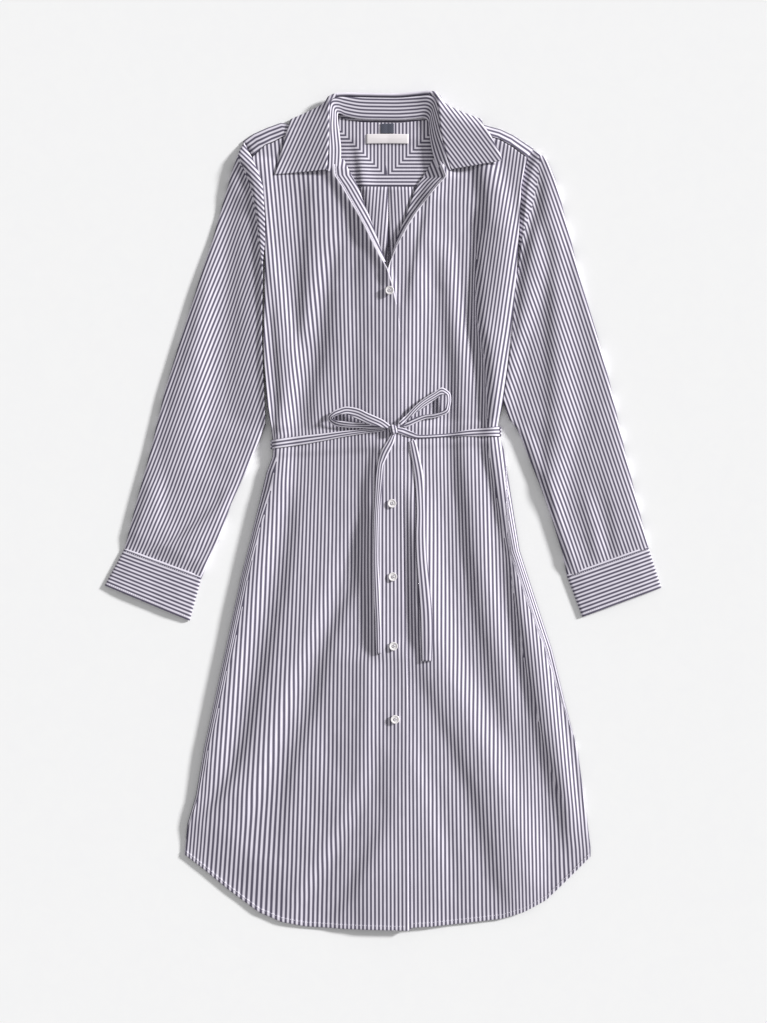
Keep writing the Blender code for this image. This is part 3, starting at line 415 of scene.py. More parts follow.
# Folds of the front, by their flanks: half width, then y, x and slope down the middle of the flank.
# A plus slope rises towards +X and a minus slope falls.
bodyFlanks = [
    # chest, right side
    (7, [(480, -150, 0), (414, -148, -0.12), (362, -148, -0.16), (283, -130, -0.2), (217, -115, -0.28),
         (150, -118, -0.28), (105, -127, -0.25), (81, -132, 0)]),
    (5, [(300, -152, 0), (254, -152, -0.14), (201, -151, -0.2), (148, -150, -0.2), (110, -152, 0)]),
    (5, [(290, -146, 0), (254, -144, 0.26), (201, -140, 0.34), (148, -138, 0.4), (110, -142, 0.36), (85, -146, 0)]),
    (11, [(394, -61, 0), (367, -63, -0.14), (319, -78, -0.24), (247, -96, -0.24), (201, -104, -0.22),
          (165, -112, -0.1), (140, -116, 0)]),
    (8, [(447, -98, 0), (420, -100, 0.18), (374, -101, 0.2), (301, -106, 0.26), (241, -110, 0.28), (214, -113, 0)]),
    (10, [(360, -57, 0), (338, -60, 0.14), (283, -69, 0.18), (211, -79, 0.18), (150, -94, 0.2),
          (114, -100, 0.18), (94, -102, 0)]),
    (12, [(347, -44, 0), (294, -45, -0.08), (235, -43, -0.1), (156, -57, -0.12), (108, -70, 0)]),
    # chest, left side, some running on down the skirt
    (13, [(407, 76, 0), (362, 70, -0.16), (313, 61, -0.2), (235, 45, -0.2), (162, 33, -0.16), (114, 28, 0)]),
    (5, [(430, 62, 0), (413, 59, 0.3), (360, 48, 0.34), (307, 37, 0.3), (270, 32, 0)]),
    (11, [(360, 70, 0), (331, 74, 0.2), (259, 85, 0.28), (201, 93, 0.38), (148, 96, 0.42), (68, 100, 0.42),
          (15, 105, 0.38), (-65, 115, 0.32), (-145, 129, 0.22), (-225, 147, 0.13), (-275, 158, 0.06), (-300, 162, 0)]),
    (8, [(380, 86, 0), (350, 90, -0.12), (307, 97, -0.18), (254, 104, -0.2), (201, 112, -0.14), (148, 121, -0.02),
         (94, 124, 0), (68, 130, -0.05), (15, 140, -0.12), (-65, 143, -0.22), (-145, 157, -0.22),
         (-225, 172, -0.2), (-290, 180, -0.1), (-320, 184, 0)]),
    (9, [(480, 128, 0), (452, 126, 0.3), (410, 134, 0.36), (360, 125, 0.42), (307, 124, 0.54), (254, 126, 0.6),
         (201, 136, 0.64), (148, 140, 0.62), (94, 139, 0.52), (68, 143, 0.52), (15, 153, 0.52), (-65, 168, 0.46),
         (-145, 178, 0.4), (-225, 193, 0.34), (-305, 212, 0.25), (-384, 234, 0.18), (-424, 240, 0.14), (-467, 240, 0)]),
    (9, [(480, 145, 0), (459, 150, -0.2), (416, 165, -0.22), (360, 175, -0.22), (307, 172, -0.26), (254, 166, -0.3),
         (201, 162, -0.32), (148, 157, -0.32), (94, 160, -0.3), (41, 169, -0.22), (-37, 188, -0.2),
         (-110, 206, -0.24), (-213, 225, -0.24), (-298, 241, -0.24), (-371, 255, -0.2), (-424, 262, 0)]),
    (9, [(240, 108, 0), (201, 115, 0.06), (148, 121, 0.14), (94, 124, 0.12), (55, 128, 0)]),
    (14, [(407, 134, 0), (374, 143, 0.2), (331, 143, 0.24), (281, 140, 0.16), (240, 138, 0)]),
    # skirt, right side
    (7, [(74, -142, 0), (35, -153, 0.3), (-1, -169, 0.3), (-19, -176, 0.24), (-80, -184, 0.2), (-170, -214, 0.22),
         (-249, -229, 0.24), (-321, -239, 0.22), (-370, -245, 0.18), (-404, -249, 0)]),
    (10, [(88, -123, -0.16), (41, -127, -0.24), (-19, -140, -0.27), (-110, -162, -0.27), (-201, -185, -0.25),
          (-273, -200, -0.22), (-334, -211, -0.16), (-371, -219, 0)]),
    (10, [(41, -116, 0), (5, -117, 0.14), (-49, -122, 0.18), (-158, -145, 0.2), (-243, -166, 0.23),
          (-321, -188, 0.24), (-376, -214, 0.24), (-414, -243, 0)]),
    (12, [(-25, -46, 0), (-80, -60, -0.14), (-158, -87, -0.22), (-243, -122, -0.24), (-315, -145, -0.22),
          (-382, -170, -0.18), (-438, -196, 0)]),
    (10, [(15, -12, 0), (-19, -22, 0.2), (-65, -30, 0.28), (-98, -39, 0.24), (-170, -69, 0.2),
          (-261, -93, 0.2), (-334, -118, 0.17), (-394, -130, 0.15), (-442, -136, 0.1), (-464, -140, 0)]),
    (8, [(-271, -81, 0), (-321, -82, -0.12), (-371, -82, 0)]),
    (12, [(-172, -8, 0), (-213, -9, -0.12), (-297, -15, -0.16), (-370, -27, -0.18), (-442, -63, -0.18),
          (-503, -100, -0.16), (-524, -110, -0.1)]),
    (11, [(-305, 4, 0), (-346, 3, 0.12), (-418, -3, 0.14), (-472, -27, 0.14), (-521, -51, 0.12), (-541, -63, 0.08)]),
    (8, [(98, -6, 0), (80, -10, 0.3), (41, -20, 0.26), (-20, -22, 0.3), (-65, -21, 0.36), (-145, -16, 0.46),
         (-180, -15, 0.4), (-200, -14, 0)]),
    # skirt, left side
    (12, [(-300, 190, 0), (-340, 198, -0.12), (-384, 207, -0.18), (-440, 215, -0.16), (-470, 220, 0)]),
    (21, [(55, 39, 0), (15, 52, -0.2), (-39, 63, -0.26), (-92, 73, -0.3), (-188, 94, -0.32), (-273, 130, -0.32),
          (-352, 166, -0.32), (-418, 190, -0.3), (-477, 206, -0.24), (-504, 214, -0.15)]),
    (12, [(-185, 43, 0), (-225, 57, 0.14), (-297, 88, 0.17), (-370, 118, 0.19), (-442, 140, 0.18),
          (-503, 156, 0.15), (-524, 164, 0.1)]),
    (7, [(41, 32, 0), (15, 33, 0.2), (-25, 35, 0.34), (-118, 39, 0.4), (-170, 43, 0.36), (-196, 46, 0)]),
    (9, [(-251, 36, 0), (-331, 49, -0.1), (-411, 70, -0.1), (-477, 86, -0.1), (-524, 89, 0)]),
    (8, [(-344, 76, 0), (-384, 84, 0.08), (-464, 97, 0.1), (-517, 105, 0.06)]),
]


foldGrid = {
    "across": 1.5,           # steps in mm
    "down": 4.0,
    "level": 53,             # steps over which the cloth comes back to its level
}


def foldField(flanks, lowX, highX, strength):  # heights whose slopes across x are those of the flanks
    xs, ys = np.arange(-380.0, 381.0, foldGrid["across"]), np.arange(-570.0, 571.0, foldGrid["down"])
    x, y = np.meshgrid(xs, ys)
    slope = np.zeros(x.shape)
    for width, line in flanks:
        at, middles, slopes = zip(*line)
        middle = curve(ys, at, middles)[:, None]
        steep = np.interp(ys, at[::-1], slopes[::-1])
        steep = np.where((ys > at[0]) | (ys < at[-1] - 40), 0, steep)[:, None]
        slope += steep * np.exp(-((x - middle) / width) ** 2)
    inside = (x > lowX(ys)[:, None]) & (x < highX(ys)[:, None])
    height = np.cumsum(np.where(inside, slope, 0), 1) * foldGrid["across"] * strength
    level = height
    for _ in range(2):  # the cloth comes back to its level away from each fold
        level = averaged(level.T, foldGrid["level"]).T
    return xs, ys, height - level


def fromField(field, x, y):
    xs, ys, height = field
    x, y = np.broadcast_arrays(np.asarray(x, float), np.asarray(y, float))
    u = np.clip((x - xs[0]) / (xs[1] - xs[0]), 0, len(xs) - 1.001)
    v = np.clip((y - ys[0]) / (ys[1] - ys[0]), 0, len(ys) - 1.001)
    i, j = u.astype(int), v.astype(int)
    s, t = u - i, v - j
    return mix(mix(height[j, i], height[j, i + 1], s), mix(height[j + 1, i], height[j + 1, i + 1], s), t)


def foldsHeight(x, y, folds):  # small separate folds: left and right width, then y, x, height down the crest
    total = np.zeros(np.broadcast(x, y).shape)
    for left, right, line in folds:
        ys, middles, heights = zip(*line)
        off = x - curve(y, ys, middles)
        height = curve(y, ys, heights)
        height = np.where((y > ys[0]) | (y < ys[-1]), 0, height)
        total = total + height * np.exp(-(off / np.where(off < 0, left, right)) ** 2)
    return total


bodyField = foldField(bodyFlanks, lambda y: edgeX(rightSide, y), lambda y: edgeX(leftSide, y), body["foldStrength"])
print("body folds from %.1f to %.1f mm" % (bodyField[2].min(), bodyField[2].max()))


def hemY(x):
    return lineY(hem, x)


def backBeltY(x):
    (low, lowY), (high, highY) = beltLine[0][:2], beltLine[-1][:2]
    return lowY + (x - low) * (highY - lowY) / (high - low)


def backBeltRise(x, y):
    off = np.abs(y - backBeltY(x)) - body["backBeltWidth"] / 2
    return body["backBeltLift"] * (1 - smooth((off - 4) / 10))


def pleatRise(x, y):
    off = np.abs(x - body["pleatCentre"]) - body["pleatHalf"] - body["pleatShoulder"]
    ramp = mix(body["pleatSlope"], body["pleatSlopeBelow"], smooth((330 - y) / 80))
    return 2 * body["layer"] * (1 - smooth(off / ramp)) * smooth((body["yokeSeam"] + 20 - y) / 30)


def neckRise(x, y):
    return body["neckLift"] * (1 - smooth((np.abs(x - 4) - 128) / 10)) * smooth((y - 484) / 14)


def frontTop(x, y):  # upper face of the fronts, before the right one climbs over the left one
    b = body
    fromRight = x - edgeX(rightSide, y)
    fromLeft = edgeX(leftSide, y) - x
    nearest = np.minimum(fromRight, fromLeft)
    atSleeve = between(y, *b["armhole"]) * (fromRight < fromLeft)
    lip = rounded(nearest / mix(b["lip"], b["lipAtSleeve"], atSleeve))
    rollLeft = mix(b["rollLeft"], b["rollChest"], smooth((y - b["chestFoot"]) / 40))
    climb = smooth(nearest / np.where(fromRight < fromLeft, b["rollRight"], rollLeft))
    climb = np.maximum(climb, atSleeve * mix(b["armholeLift"], 1.0, smooth(fromRight / 45)))
    aboveHem = y - hemY(x)
    climb = climb * mix(0.1, 1.0, smooth(aboveHem / b["hemEase"]))
    waist = np.exp(-((y - lineY(beltLine, x)) / b["beltPressWidth"]) ** 2)
    right = (edgeX(rightFrontEdge, y) - x) / b["neckRollWidth"]  # inside each front's own edge
    left = (x - edgeX(leftFrontEdge, y)) / b["neckRollWidth"]
    openNeck = between(y, *b["openNeck"])
    right, left = [np.exp(-np.maximum(off, 0) ** 2) * (1 - smooth(-3 * off - 0.3)) for off in (right, left)]
    roll = b["neckRoll"] * openNeck * (right + mix(0.3, 1, smooth((y - 370) / 50)) * left)
    crumple = b["crumple"] * (hills(x, y * 0.6, 24, 3) + 0.6 * hills(x, y * 0.5, 11, 5))
    fade = smooth((nearest + 1) / 8) * mix(0.5, 1.0, smooth(2 * aboveHem / b["hemEase"]))
    loft = climb * b["softness"] + fade * (fromField(bodyField, x, y) + crumple) + roll
    loft = np.maximum(loft * (1 - b["beltPress"] * waist), 0)
    height = 2 * b["wall"] + b["panelGap"] + pleatRise(x, y) + backBeltRise(x, y) + loft
    return 1.0 + (height - 1.0) * lip


def placketRise(x, y):  # the right front lies over the left one
    return (body["wall"] + body["panelGap"]) * smooth((x + 44) / 30) * smooth((355 - y) / 35)


# Stripes of the body. Creases that swallow some cloth: y, x down the line, then how far the stripes
# beyond the crease have shifted: y, mm.
rightCrease = [(420, 134), (360, 125), (307, 124), (254, 126), (201, 136), (148, 140), (94, 139), (68, 143),
               (15, 153), (-65, 168), (-145, 178), (-225, 193), (-305, 212), (-384, 234), (-424, 240)]
rightShift = [(520, -26), (100, 33), (-50, 15), (-450, -19), (-560, -24)]
# strips that turn under along the sides, their stripes parallel to the edge: y, width, how close the stripes lie
turnedRight = [(150, 0, 1), (130, 3, 1), (92, 5, 1), (72, 7, 1), (64, 9, 1), (28, 12, 1), (8, 12, 1.2), (-20, 10, 1.6),
               (-60, 10, 1.8), (-150, 11, 1.8), (-250, 9, 1.8), (-330, 7, 1.6), (-400, 3, 1.4), (-440, 0, 1)]
turnedLeft = [(60, 0, 1), (40, 3, 1.2), (10, 7, 1.4), (-20, 11, 1.5), (-60, 13, 1.6), (-100, 12, 1.6), (-150, 10, 1.5),
              (-220, 6, 1.4), (-300, 0, 1)]
stripeLean = [(-160, -0.10), (-95, -0.075), (-50, -0.03), (0, 0.0), (60, 0.02), (110, 0.03)]
skirtLean = [(-190, -0.085), (-150, -0.065), (-110, -0.035), (-50, -0.01), (0, 0.0), (60, 0.01), (140, 0.03)]


def mainStripes(x, y):
    above, below = np.maximum(y - 100, 0), np.maximum(100 - y, 0)
    u = x
    for _ in range(8):
        u = x - above * lineY(stripeLean, u) - below * lineY(skirtLean, u)
    return u


def joinStripes(u, first, second, x, y, lineAt, side, soft=0.6, above=-1e3, below=1e3):
    # other stripes beyond a crease, in step with these along it between two heights
    repeat = poplin["repeat"]
    held = np.clip(y, above, below)
    line = lineAt(held)
    steps = np.round((first(line, held) - second(line, held)) / repeat)[:-1, :-1, None] * repeat
    share = corners(smooth(0.5 + side * (x - lineAt(y)) / (2 * soft)))
    return mix(u, corners(second(x, y)) + steps, share)


def stripEdge(edge, table, side, y):  # inner edge of a strip along a seam or side, far off where there is no strip
    width = edgeX(table, y)
    return edgeX(edge, y) - side * np.where(width > 0.3, width, -9)


def overStripes(x, y):
    return x + edgeX(rightShift, y)


def underRight(x, y):
    return (x - edgeX(rightSide, y)) * edgeX(turnedRight, y, 2)


def underLeft(x, y):
    return (x - edgeX(leftSide, y)) * edgeX(turnedLeft, y, 2)


def bodyStripes(x, y):  # values at the corners of each face
    soft = np.maximum(30 * smooth((y - 360) / 60), 25 * smooth((-350 - y) / 80)) + 0.8
    u = joinStripes(corners(mainStripes(x, y)), mainStripes, overStripes, x, y, lambda v: edgeX(rightCrease, v),
                    1, soft, -350, 360)
    u = joinStripes(u, mainStripes, underRight, x, y, lambda v: stripEdge(rightSide, turnedRight, -1, v), -1)
    u = joinStripes(u, overStripes, underLeft, x, y, lambda v: stripEdge(leftSide, turnedLeft, 1, v), 1)
    return u + corners(body["foldPull"] * fromField(bodyField, x, y))


def bodyGrid(lowX, highX, topY, bottomY, s, t):
    ends = []
    for line, y in ((topY, 480.0), (bottomY, -480.0)):
        y = np.full(len(s), y)
        for _ in range(8):
            y = line(lowX(y) * (1 - s) + highX(y) * s)
        ends.append(y)
    y = ends[0] * (1 - t[:, None]) + ends[1] * t[:, None]
    return lowX(y) * (1 - s) + highX(y) * s, y


# Back

back = {
    "length": 985.0,
    "rowStep": 5.0,
    "pleatMeet": 0.9,
    "thickness": 0.8,
    "leanRight": 0.075,      # the pleat hangs open, so the stripes lean away from it
    "leanLeft": 0.045,
    "leanReach": 110.0,
    "leanWidth": 60.0,
    "flat": (0.560, 1.000),
}
insideFolds = [(5, 12, [(498, -38, 0), (480, -33, 2), (454, -29, 3.2), (427, -26, 3), (395, -24, 0)])]


def makeBack():
    half, top, meet = body["pleatHalf"], 2 * body["layer"], back["pleatMeet"]
    flat = half + 16
    pleat = [
        (-flat, 0), (-half - 12, 0.7 * top), (-half - 6, top), (-half + 4, top), (-half / 2, top), (-meet - 1, top),
        (-meet, 0.9 * top), (-meet - 1, body["layer"]), (1 - half, body["layer"]), (-half, body["layer"] / 2),
        (1 - half, 0), (0, 0), (half - 1, 0), (half, body["layer"] / 2), (half - 1, body["layer"]),
        (meet + 1, body["layer"]), (meet, 0.9 * top), (meet + 1, top), (half / 2, top), (half - 4, top),
        (half + 6, top), (half + 12, 0.7 * top), (flat, 0),
    ]
    outer = np.linspace(0, 0.97, 34)
    t = np.linspace(0, 1, int(back["length"] / back["rowStep"]))
    kinds = [("right", s) for s in outer] + [("pleat", at) for at in pleat] + [("left", s) for s in outer[::-1]]
    columns = []
    for part, at in kinds:
        y = np.full(len(t), body["yokeSeam"])
        for _ in range(6):
            if part == "pleat":
                x = np.full(len(t), body["pleatCentre"] + at[0])
            elif part == "right":
                edge = edgeX(rightSide, y) + body["wall"]
                x = mix(edge, body["pleatCentre"] - flat, at)
            else:
                edge = edgeX(leftSide, y) - body["wall"]
                x = mix(edge, body["pleatCentre"] + flat, at)
            y = mix(body["yokeSeam"] - 0.4, hemY(x) + 2, t)
        lift = at[1] if part == "pleat" else 0
        z = body["wall"] / 2 + lift + backBeltRise(x, y) + foldsHeight(x, y, insideFolds)
        columns.append(np.stack([x, y, z], -1))
    points = np.stack(columns, 1)
    u = reached(points[0])
    u = u - u[len(outer) + 5] - 1.2  # a dark stripe runs down the pleat's edge
    fromPleat = points[..., 0] - body["pleatCentre"]
    below = np.minimum(body["yokeSeam"] - points[..., 1], back["leanReach"])
    lean = np.where(fromPleat < 0, back["leanRight"], -back["leanLeft"])
    u = u[None, :] + lean * below * np.exp(-(fromPleat / back["leanWidth"]) ** 2)
    mesh = sheetMesh("backPanel", grid(points, u, points[..., 1]))
    piece = clothPiece("backPanel", mesh, "back", back["thickness"], 0.0)
    return piece


# Yoke: x, y of the shoulder and neck line, and of the seams on the front

yoke = {
    "thickness": 0.8,
    "turn": 1.9,
    "innerRight": -66.0,
    "innerLeft": 72.0,
    "mitre": (4.9, 442.1),   # where the stripes of its two halves meet
    "flat": (0.390, 0.125),
    "area": 0.040,
}
yokeEdge = [
    (-186, 491), (-172, 501), (-154, 509), (-136, 515.5), (-121, 513.5), (-106, 518), (-89, 526),
    (-66, 534), (-62, 525), (-52, 521), (-28, 516.5), (23, 515.5), (45, 518), (66, 521),
    (73, 535), (100, 523), (116, 516), (129, 514), (156, 507), (173, 499), (200, 481),
]
rightYokeSeam = [(-175, 469), (-157, 486), (-146, 490), (-133, 497), (-76, 517), (-66, 518)]
leftYokeSeam = [(72, 518), (84, 515), (156, 493), (172, 484), (192, 469)]


def makeYoke():
    wall, (mitreX, mitreY) = body["wall"], yoke["mitre"]
    edgeXs = [row[0] for row in yokeEdge]
    xs = np.unique(np.concatenate([
        np.linspace(edgeXs[0], edgeXs[-1], 120), np.linspace(mitreX - 2, mitreX + 2, 11), edgeXs,
        [yoke["innerRight"], yoke["innerLeft"]]]))
    share = (xs - xs[0]) / (xs[-1] - xs[0])
    edge = lineY(yokeEdge, xs)
    strips = (xs <= yoke["innerRight"]) | (xs >= yoke["innerLeft"])
    t = np.concatenate([np.linspace(0, 0.96, 26), [0.98, 1.0]])[:, None]
    y = body["yokeSeam"] + (edge - body["yokeSeam"]) * t
    x = edgeX(rightSide, y) * (1 - share) + edgeX(leftSide, y) * share
    z = wall / 2 + neckRise(x, y) + foldsHeight(x, y, insideFolds) + 0.5 * np.exp(-((y - 432) / 5) ** 2)
    z = z + yoke["turn"] / 2 * (t == 1) * strips
    across = 2.33 + 0.98 * np.abs(x - mitreX)
    inside = grid(np.stack([x, y, z], -1)[::-1], across[::-1], y[::-1], 0.98 * (y - mitreY)[::-1])
    parts = [inside]
    for low, high, seam, ends in (
        (xs[0], yoke["innerRight"], rightYokeSeam, ((-186, -66), (-175, -68))),
        (yoke["innerLeft"], xs[-1], leftYokeSeam, ((73, 200), (75, 192))),
    ):
        pick = (xs >= low) & (xs <= high)
        x0, y0 = xs[pick], edge[pick]
        x1 = np.interp(x0, *ends)
        y1 = lineY(seam, x1)
        k = np.array([0, 0.03, 0.08, 0.16, 0.28, 0.42, 0.56, 0.7, 0.84, 0.93, 1.0])[:, None]
        x, y = x0 + (x1 - x0) * k, y0 + (y1 - y0) * k
        fold = wall / 2 + neckRise(x, y0) + yoke["turn"] * smooth(k / 0.08 * 0.5 + 0.5)
        flat = frontTop(x, y) - 0.15
        z = fold + (np.maximum(flat, fold) - fold) * smooth(k)
        u = (y0 - y) * 0.91
        parts.append(grid(np.stack([x, y, z], -1), u, np.broadcast_to(x, u.shape)))
    piece = clothPiece("yokePanel", sheetMesh("yokePanel", *parts), "yoke", yoke["thickness"], 0.0)
    return piece


# Fronts

fronts = {
    "thickness": 0.7,
    "seam": 1.0,
    "overhang": 1.8,         # the cloth beyond the long left crease hangs over it
    "overhangAt": (-90.0, 90.0, 350.0, 60.0),  # y of its ends, each with its soft length
    "foldLip": 1.3,          # rounding of the folded front edges
    "rimWidth": 1.4,
    "rimFrom": 275.0,        # height at which the front opens
    "hemFold": 6.5,
    "hemThickness": 0.45,
    "flatRight": (0.330, 1.060, 0.235),   # width and length of the cut, then its area
    "flatLeft": (0.310, 1.060, 0.225),
    "rows": 318,
    "columns": 82,
}


def frontSheet(name, node, lowX, highX, topLine, side, over):
    f = fronts
    dense = np.array([0, 0.0012, 0.003, 0.006, 0.01, 0.015, 0.021])
    if side == "low":
        s = np.concatenate([dense, np.linspace(0.03, 0.985, f["columns"]), [0.991, 0.9945, 0.9975, 1.0]])
    else:
        s = np.concatenate([[0, 0.0025, 0.0055, 0.009], np.linspace(0.015, 0.97, f["columns"]), 1 - dense[::-1]])
    hemRows = 1 - np.array([9.5, 7.4, 6.7, 6.3, 4.5, 2.5, 1.2, 0.4, 0.0]) / 1030
    t = np.concatenate([[0, 0.001, 0.003], np.linspace(0.006, 0.988, f["rows"]), hemRows])
    x, y = bodyGrid(lowX, highX, topLine, hemY, s, t)
    z = frontTop(x, y)
    if over:
        z = z + placketRise(x, y)
    edge = highX(y) - x if side == "low" else x - lowX(y)
    u = bodyStripes(x, y)
    crease = (x - edgeX(rightCrease, y) - 1) / 5
    hang = between(y, *f["overhangAt"]) * (1 - np.exp(-((y - 103) / 18) ** 2))  # none under the belt
    x = x - f["overhang"] * hang * np.exp(-crease ** 2)
    lip = np.clip(1 - edge / f["foldLip"], 0, 1)
    z = z - 0.3 * lip ** 2
    toHem = y - hemY(x)
    z = z + f["hemThickness"] * (1 - smooth((toHem - f["hemFold"] + 0.4) / 0.6))
    z = z - 0.5 * np.clip(1 - toHem / 1.2, 0, 1) ** 2
    z = z - 0.5 * (t[:, None] < 0.0009)
    rim = ((edge < f["rimWidth"]) & (y > f["rimFrom"]))[:-1]
    rim = rim[:, 1:] if side == "low" else rim[:, :-1]
    u = np.where(rim[..., None], poplin["repeat"] / 2, u)  # a light line runs down the open edge
    mesh = sheetMesh(name, grid(np.stack([x, y, z], -1), u, y))
    piece = clothPiece(name, mesh, node, f["thickness"])
    return piece


def makeFronts():
    corner = body["yokeCorner"]
    right = frontSheet(
        "frontRight", "front_right", lambda v: edgeX(rightSide, np.minimum(v, corner)),
        lambda v: edgeX(rightFrontEdge, v), lambda u: lineY(rightYokeSeam, u) - fronts["seam"],
        "low", True)
    left = frontSheet(
        "frontLeft", "front_left", lambda v: edgeX(leftFrontEdge, v),
        lambda v: edgeX(leftSide, np.minimum(v, corner)), lambda u: lineY(leftYokeSeam, u) - fronts["seam"],
        "high", False)
    return right, left


# Facings, turned in from the front edges: y, inner x

facings = {
    "thickness": 0.7,
    "below": 1.5,            # depth under the front's upper face
    "hang": 2.6,
    "flatRight": (0.018, 0.140),
    "flatLeft": (0.020, 0.135),
}
rightFacing = [(467, -52), (452, -45), (436, -36), (408, -25), (380, -14), (363, -8), (348, -3), (330, 4)]
leftFacing = [(468, 67), (452, 58), (439, 49), (411, 37), (388, 29), (366, 20), (348, 14), (336, 11)]


def makeFacing(name, node, edgeTable, table, side):
    y = np.linspace(table[0][0], table[-1][0], 90)
    outer = edgeX(edgeTable, y) + side * 0.2
    inner = curve(y, *zip(*table))
    k = np.linspace(0, 1, 11)[None, :]
    x = outer[:, None] + (inner - outer)[:, None] * k
    high = frontTop(outer, y)[:, None] - facings["below"]
    low = body["wall"] + body["panelGap"] + 1.0 + pleatRise(x, y[:, None])
    if side < 0:
        z = high - facings["hang"] * k ** 2
    else:
        z = high + (np.minimum(low, high) - high) * smooth(k) ** 0.8
    u = np.abs(x - outer[:, None]) * 0.88 + 1.0
    points = np.stack([x, np.broadcast_to(y[:, None], x.shape), z], -1)
    mesh = sheetMesh(name, grid(points, u, y[:, None], flip=side > 0))
    piece = clothPiece(name, mesh, node, facings["thickness"])
    return piece


# Sleeves and cuffs

sleeves = {
    "thickness": 0.7,
    "softness": 1.2,
    "edgeShare": 0.1,
    "edgeLow": 1.1,
    "edgeHigh": 5.6,         # the folded edges stand up before they flatten
    "besideBody": (95.0, 30.0, 485.0, 30.0),   # y of its ends, each with its soft length
    "calmHeight": 2.6,       # its folds are lower beside the body
    "rise": 4.6,             # the right sleeve rises slowly, then climbs to the front's edge
    "climb": 4.6,
    "tuck": 2.6,             # how far the sleeve runs under the front's edge
    "seamTuck": 4.0,         # and under the chest along the left seam
    "seamTuckAt": (108.0, 15.0, 470.0, 20.0),
    "endTuck": 4.0,          # and into the cuff
    "under": 0.45,
    "foldStrength": 1.7,
    "length": 560.0,
    "columns": 44,
    "rows": 180,
    "flat": (0.300, 0.560),
    "area": 0.122,
}
rightArmhole = [
    (-187.5, 490), (-176, 468.5), (-168, 450.5), (-162, 431.5), (-158, 391), (-158, 352), (-159.5, 320),
]
rightSleeveOuter = [
    (-187.5, 490), (-193, 472), (-201, 451), (-225, 366), (-246, 302), (-274, 213), (-290, 161),
    (-309, 81), (-326, 19), (-343, -48.5),
]
rightSleeveInner = [
    (-159.5, 320), (-160.5, 229), (-159.3, 194), (-157, 150), (-156, 114), (-167, 86), (-202, 9), (-219, -41),
    (-226, -51), (-240, -86),
]
leftArmhole = [
    (201, 481), (193.5, 468.5), (189.5, 451), (185.5, 431.5), (184.3, 405), (181.5, 351), (179.3, 320),
]
leftSleeveOuter = [
    (201, 481), (210, 474), (219, 466), (229, 442), (237, 411), (249, 364), (263, 306), (285, 234),
    (302, 169), (323, 74), (352, -45.5),
]
leftSleeveInner = [
    (179.3, 320), (176.5, 262), (173.5, 219), (167.5, 177), (163, 147), (172, 122), (184, 96),
    (209, 33), (222, -3), (239, -57), (243.5, -84),
]
rightSleeveFlanks = [
    (13, [(480, -196, 0), (434, -202, -0.14), (331, -214, -0.2), (259, -223, -0.2), (180, -231, -0.18),
          (114, -239, -0.14), (55, -246, -0.1), (15, -257, 0)]),
    (11, [(430, -192, 0), (413, -195, 0.16), (360, -198, 0.24), (300, -197, 0.26), (235, -194, 0.24),
          (150, -203, 0.18), (110, -206, 0.1), (90, -210, 0)]),
    (14, [(467, -201, 0), (331, -237, 0.1), (241, -257, 0.12), (148, -281, 0.12), (81, -290, 0.1), (28, -297, 0)]),
    (9, [(35, -206, 0), (17, -214, 0.2), (-19, -251, 0.2), (-45, -290, 0.16), (-55, -323, 0)]),
    (9, [(-12, -223, 0), (-37, -233, -0.18), (-60, -257, -0.16), (-73, -269, 0)]),
    (8, [(55, -289, 0), (29, -293, -0.14), (-13, -296, -0.14), (-32, -299, 0)]),
    (8, [(41, -315, 0), (8, -323, 0.14), (-25, -334, 0.16), (-49, -339, 0)]),
]
leftSleeveFlanks = [
    (9, [(485, 210, 0), (471, 203, -0.2), (414, 194, -0.3), (380, 186, -0.26), (356, 178, -0.22), (314, 174, 0)]),
    (10, [(400, 218, 0), (360, 211, -0.12), (331, 213, -0.2), (271, 200, -0.24), (198, 180, -0.24), (150, 168, -0.2),
          (121, 166, 0)]),
    (8, [(410, 203, 0), (380, 200, 0.24), (360, 195, 0.34), (331, 189, 0.32), (271, 179, 0.28), (235, 174, 0.24),
         (214, 172, 0)]),
    (8, [(470, 212, 0), (440, 211, 0.22), (414, 210, 0.28), (385, 214, 0.2), (360, 221, 0.2), (294, 222, 0.22),
         (227, 221, 0.2), (150, 221, 0.18), (68, 218, 0.16), (15, 213, 0.14), (-10, 213, 0)]),
    (6, [(116, 190, 0), (94, 198, -0.2), (68, 206, -0.22), (40, 214, -0.1), (20, 220, 0)]),
    (15, [(440, 230, 0), (374, 239, -0.14), (259, 244, -0.18), (150, 249, -0.2), (94, 247, -0.22), (68, 242, -0.22),
          (15, 234, -0.28), (-30, 238, -0.22), (-65, 246, -0.14), (-80, 250, 0)]),
    (7, [(55, 254, 0), (15, 265, 0.08), (-45, 275, 0.14), (-72, 281, 0)]),
    (7, [(41, 273, 0), (5, 281, -0.14), (-52, 293, -0.16), (-78, 297, 0)]),
    (7, [(68, 289, 0), (12, 299, 0.14), (-44, 306, 0.16), (-72, 310, 0)]),
    (6, [(35, 205, 0), (15, 210, 0.16), (-32, 230, 0.2), (-80, 251, 0.2)]),
]
# deep crease of the right sleeve beside the armhole: y, distance from the seam, width
armholeCrease = [(475, 16, 8), (413, 13, 9), (360, 9, 9), (307, 6, 9), (254, 4, 11), (200, 4, 14),
                 (150, 4, 18), (110, 5, 18)]
# between crease and seam the stripes run at another slant: y, width
rightStrip = [(492, 18), (450, 17), (413, 13), (360, 8), (320, 3), (300, 0)]
leftStrip = [(492, 14), (471, 16), (436, 21), (412, 17), (379, 8), (351, 2), (340, 0)]
rightSleeveLean = [(-100, 26), (-30, 24), (60, 21), (200, 20), (350, 21), (470, 28)]
leftSleeveLean = [(-100, -20), (60, -19), (350, -18), (430, -20), (480, -26)]


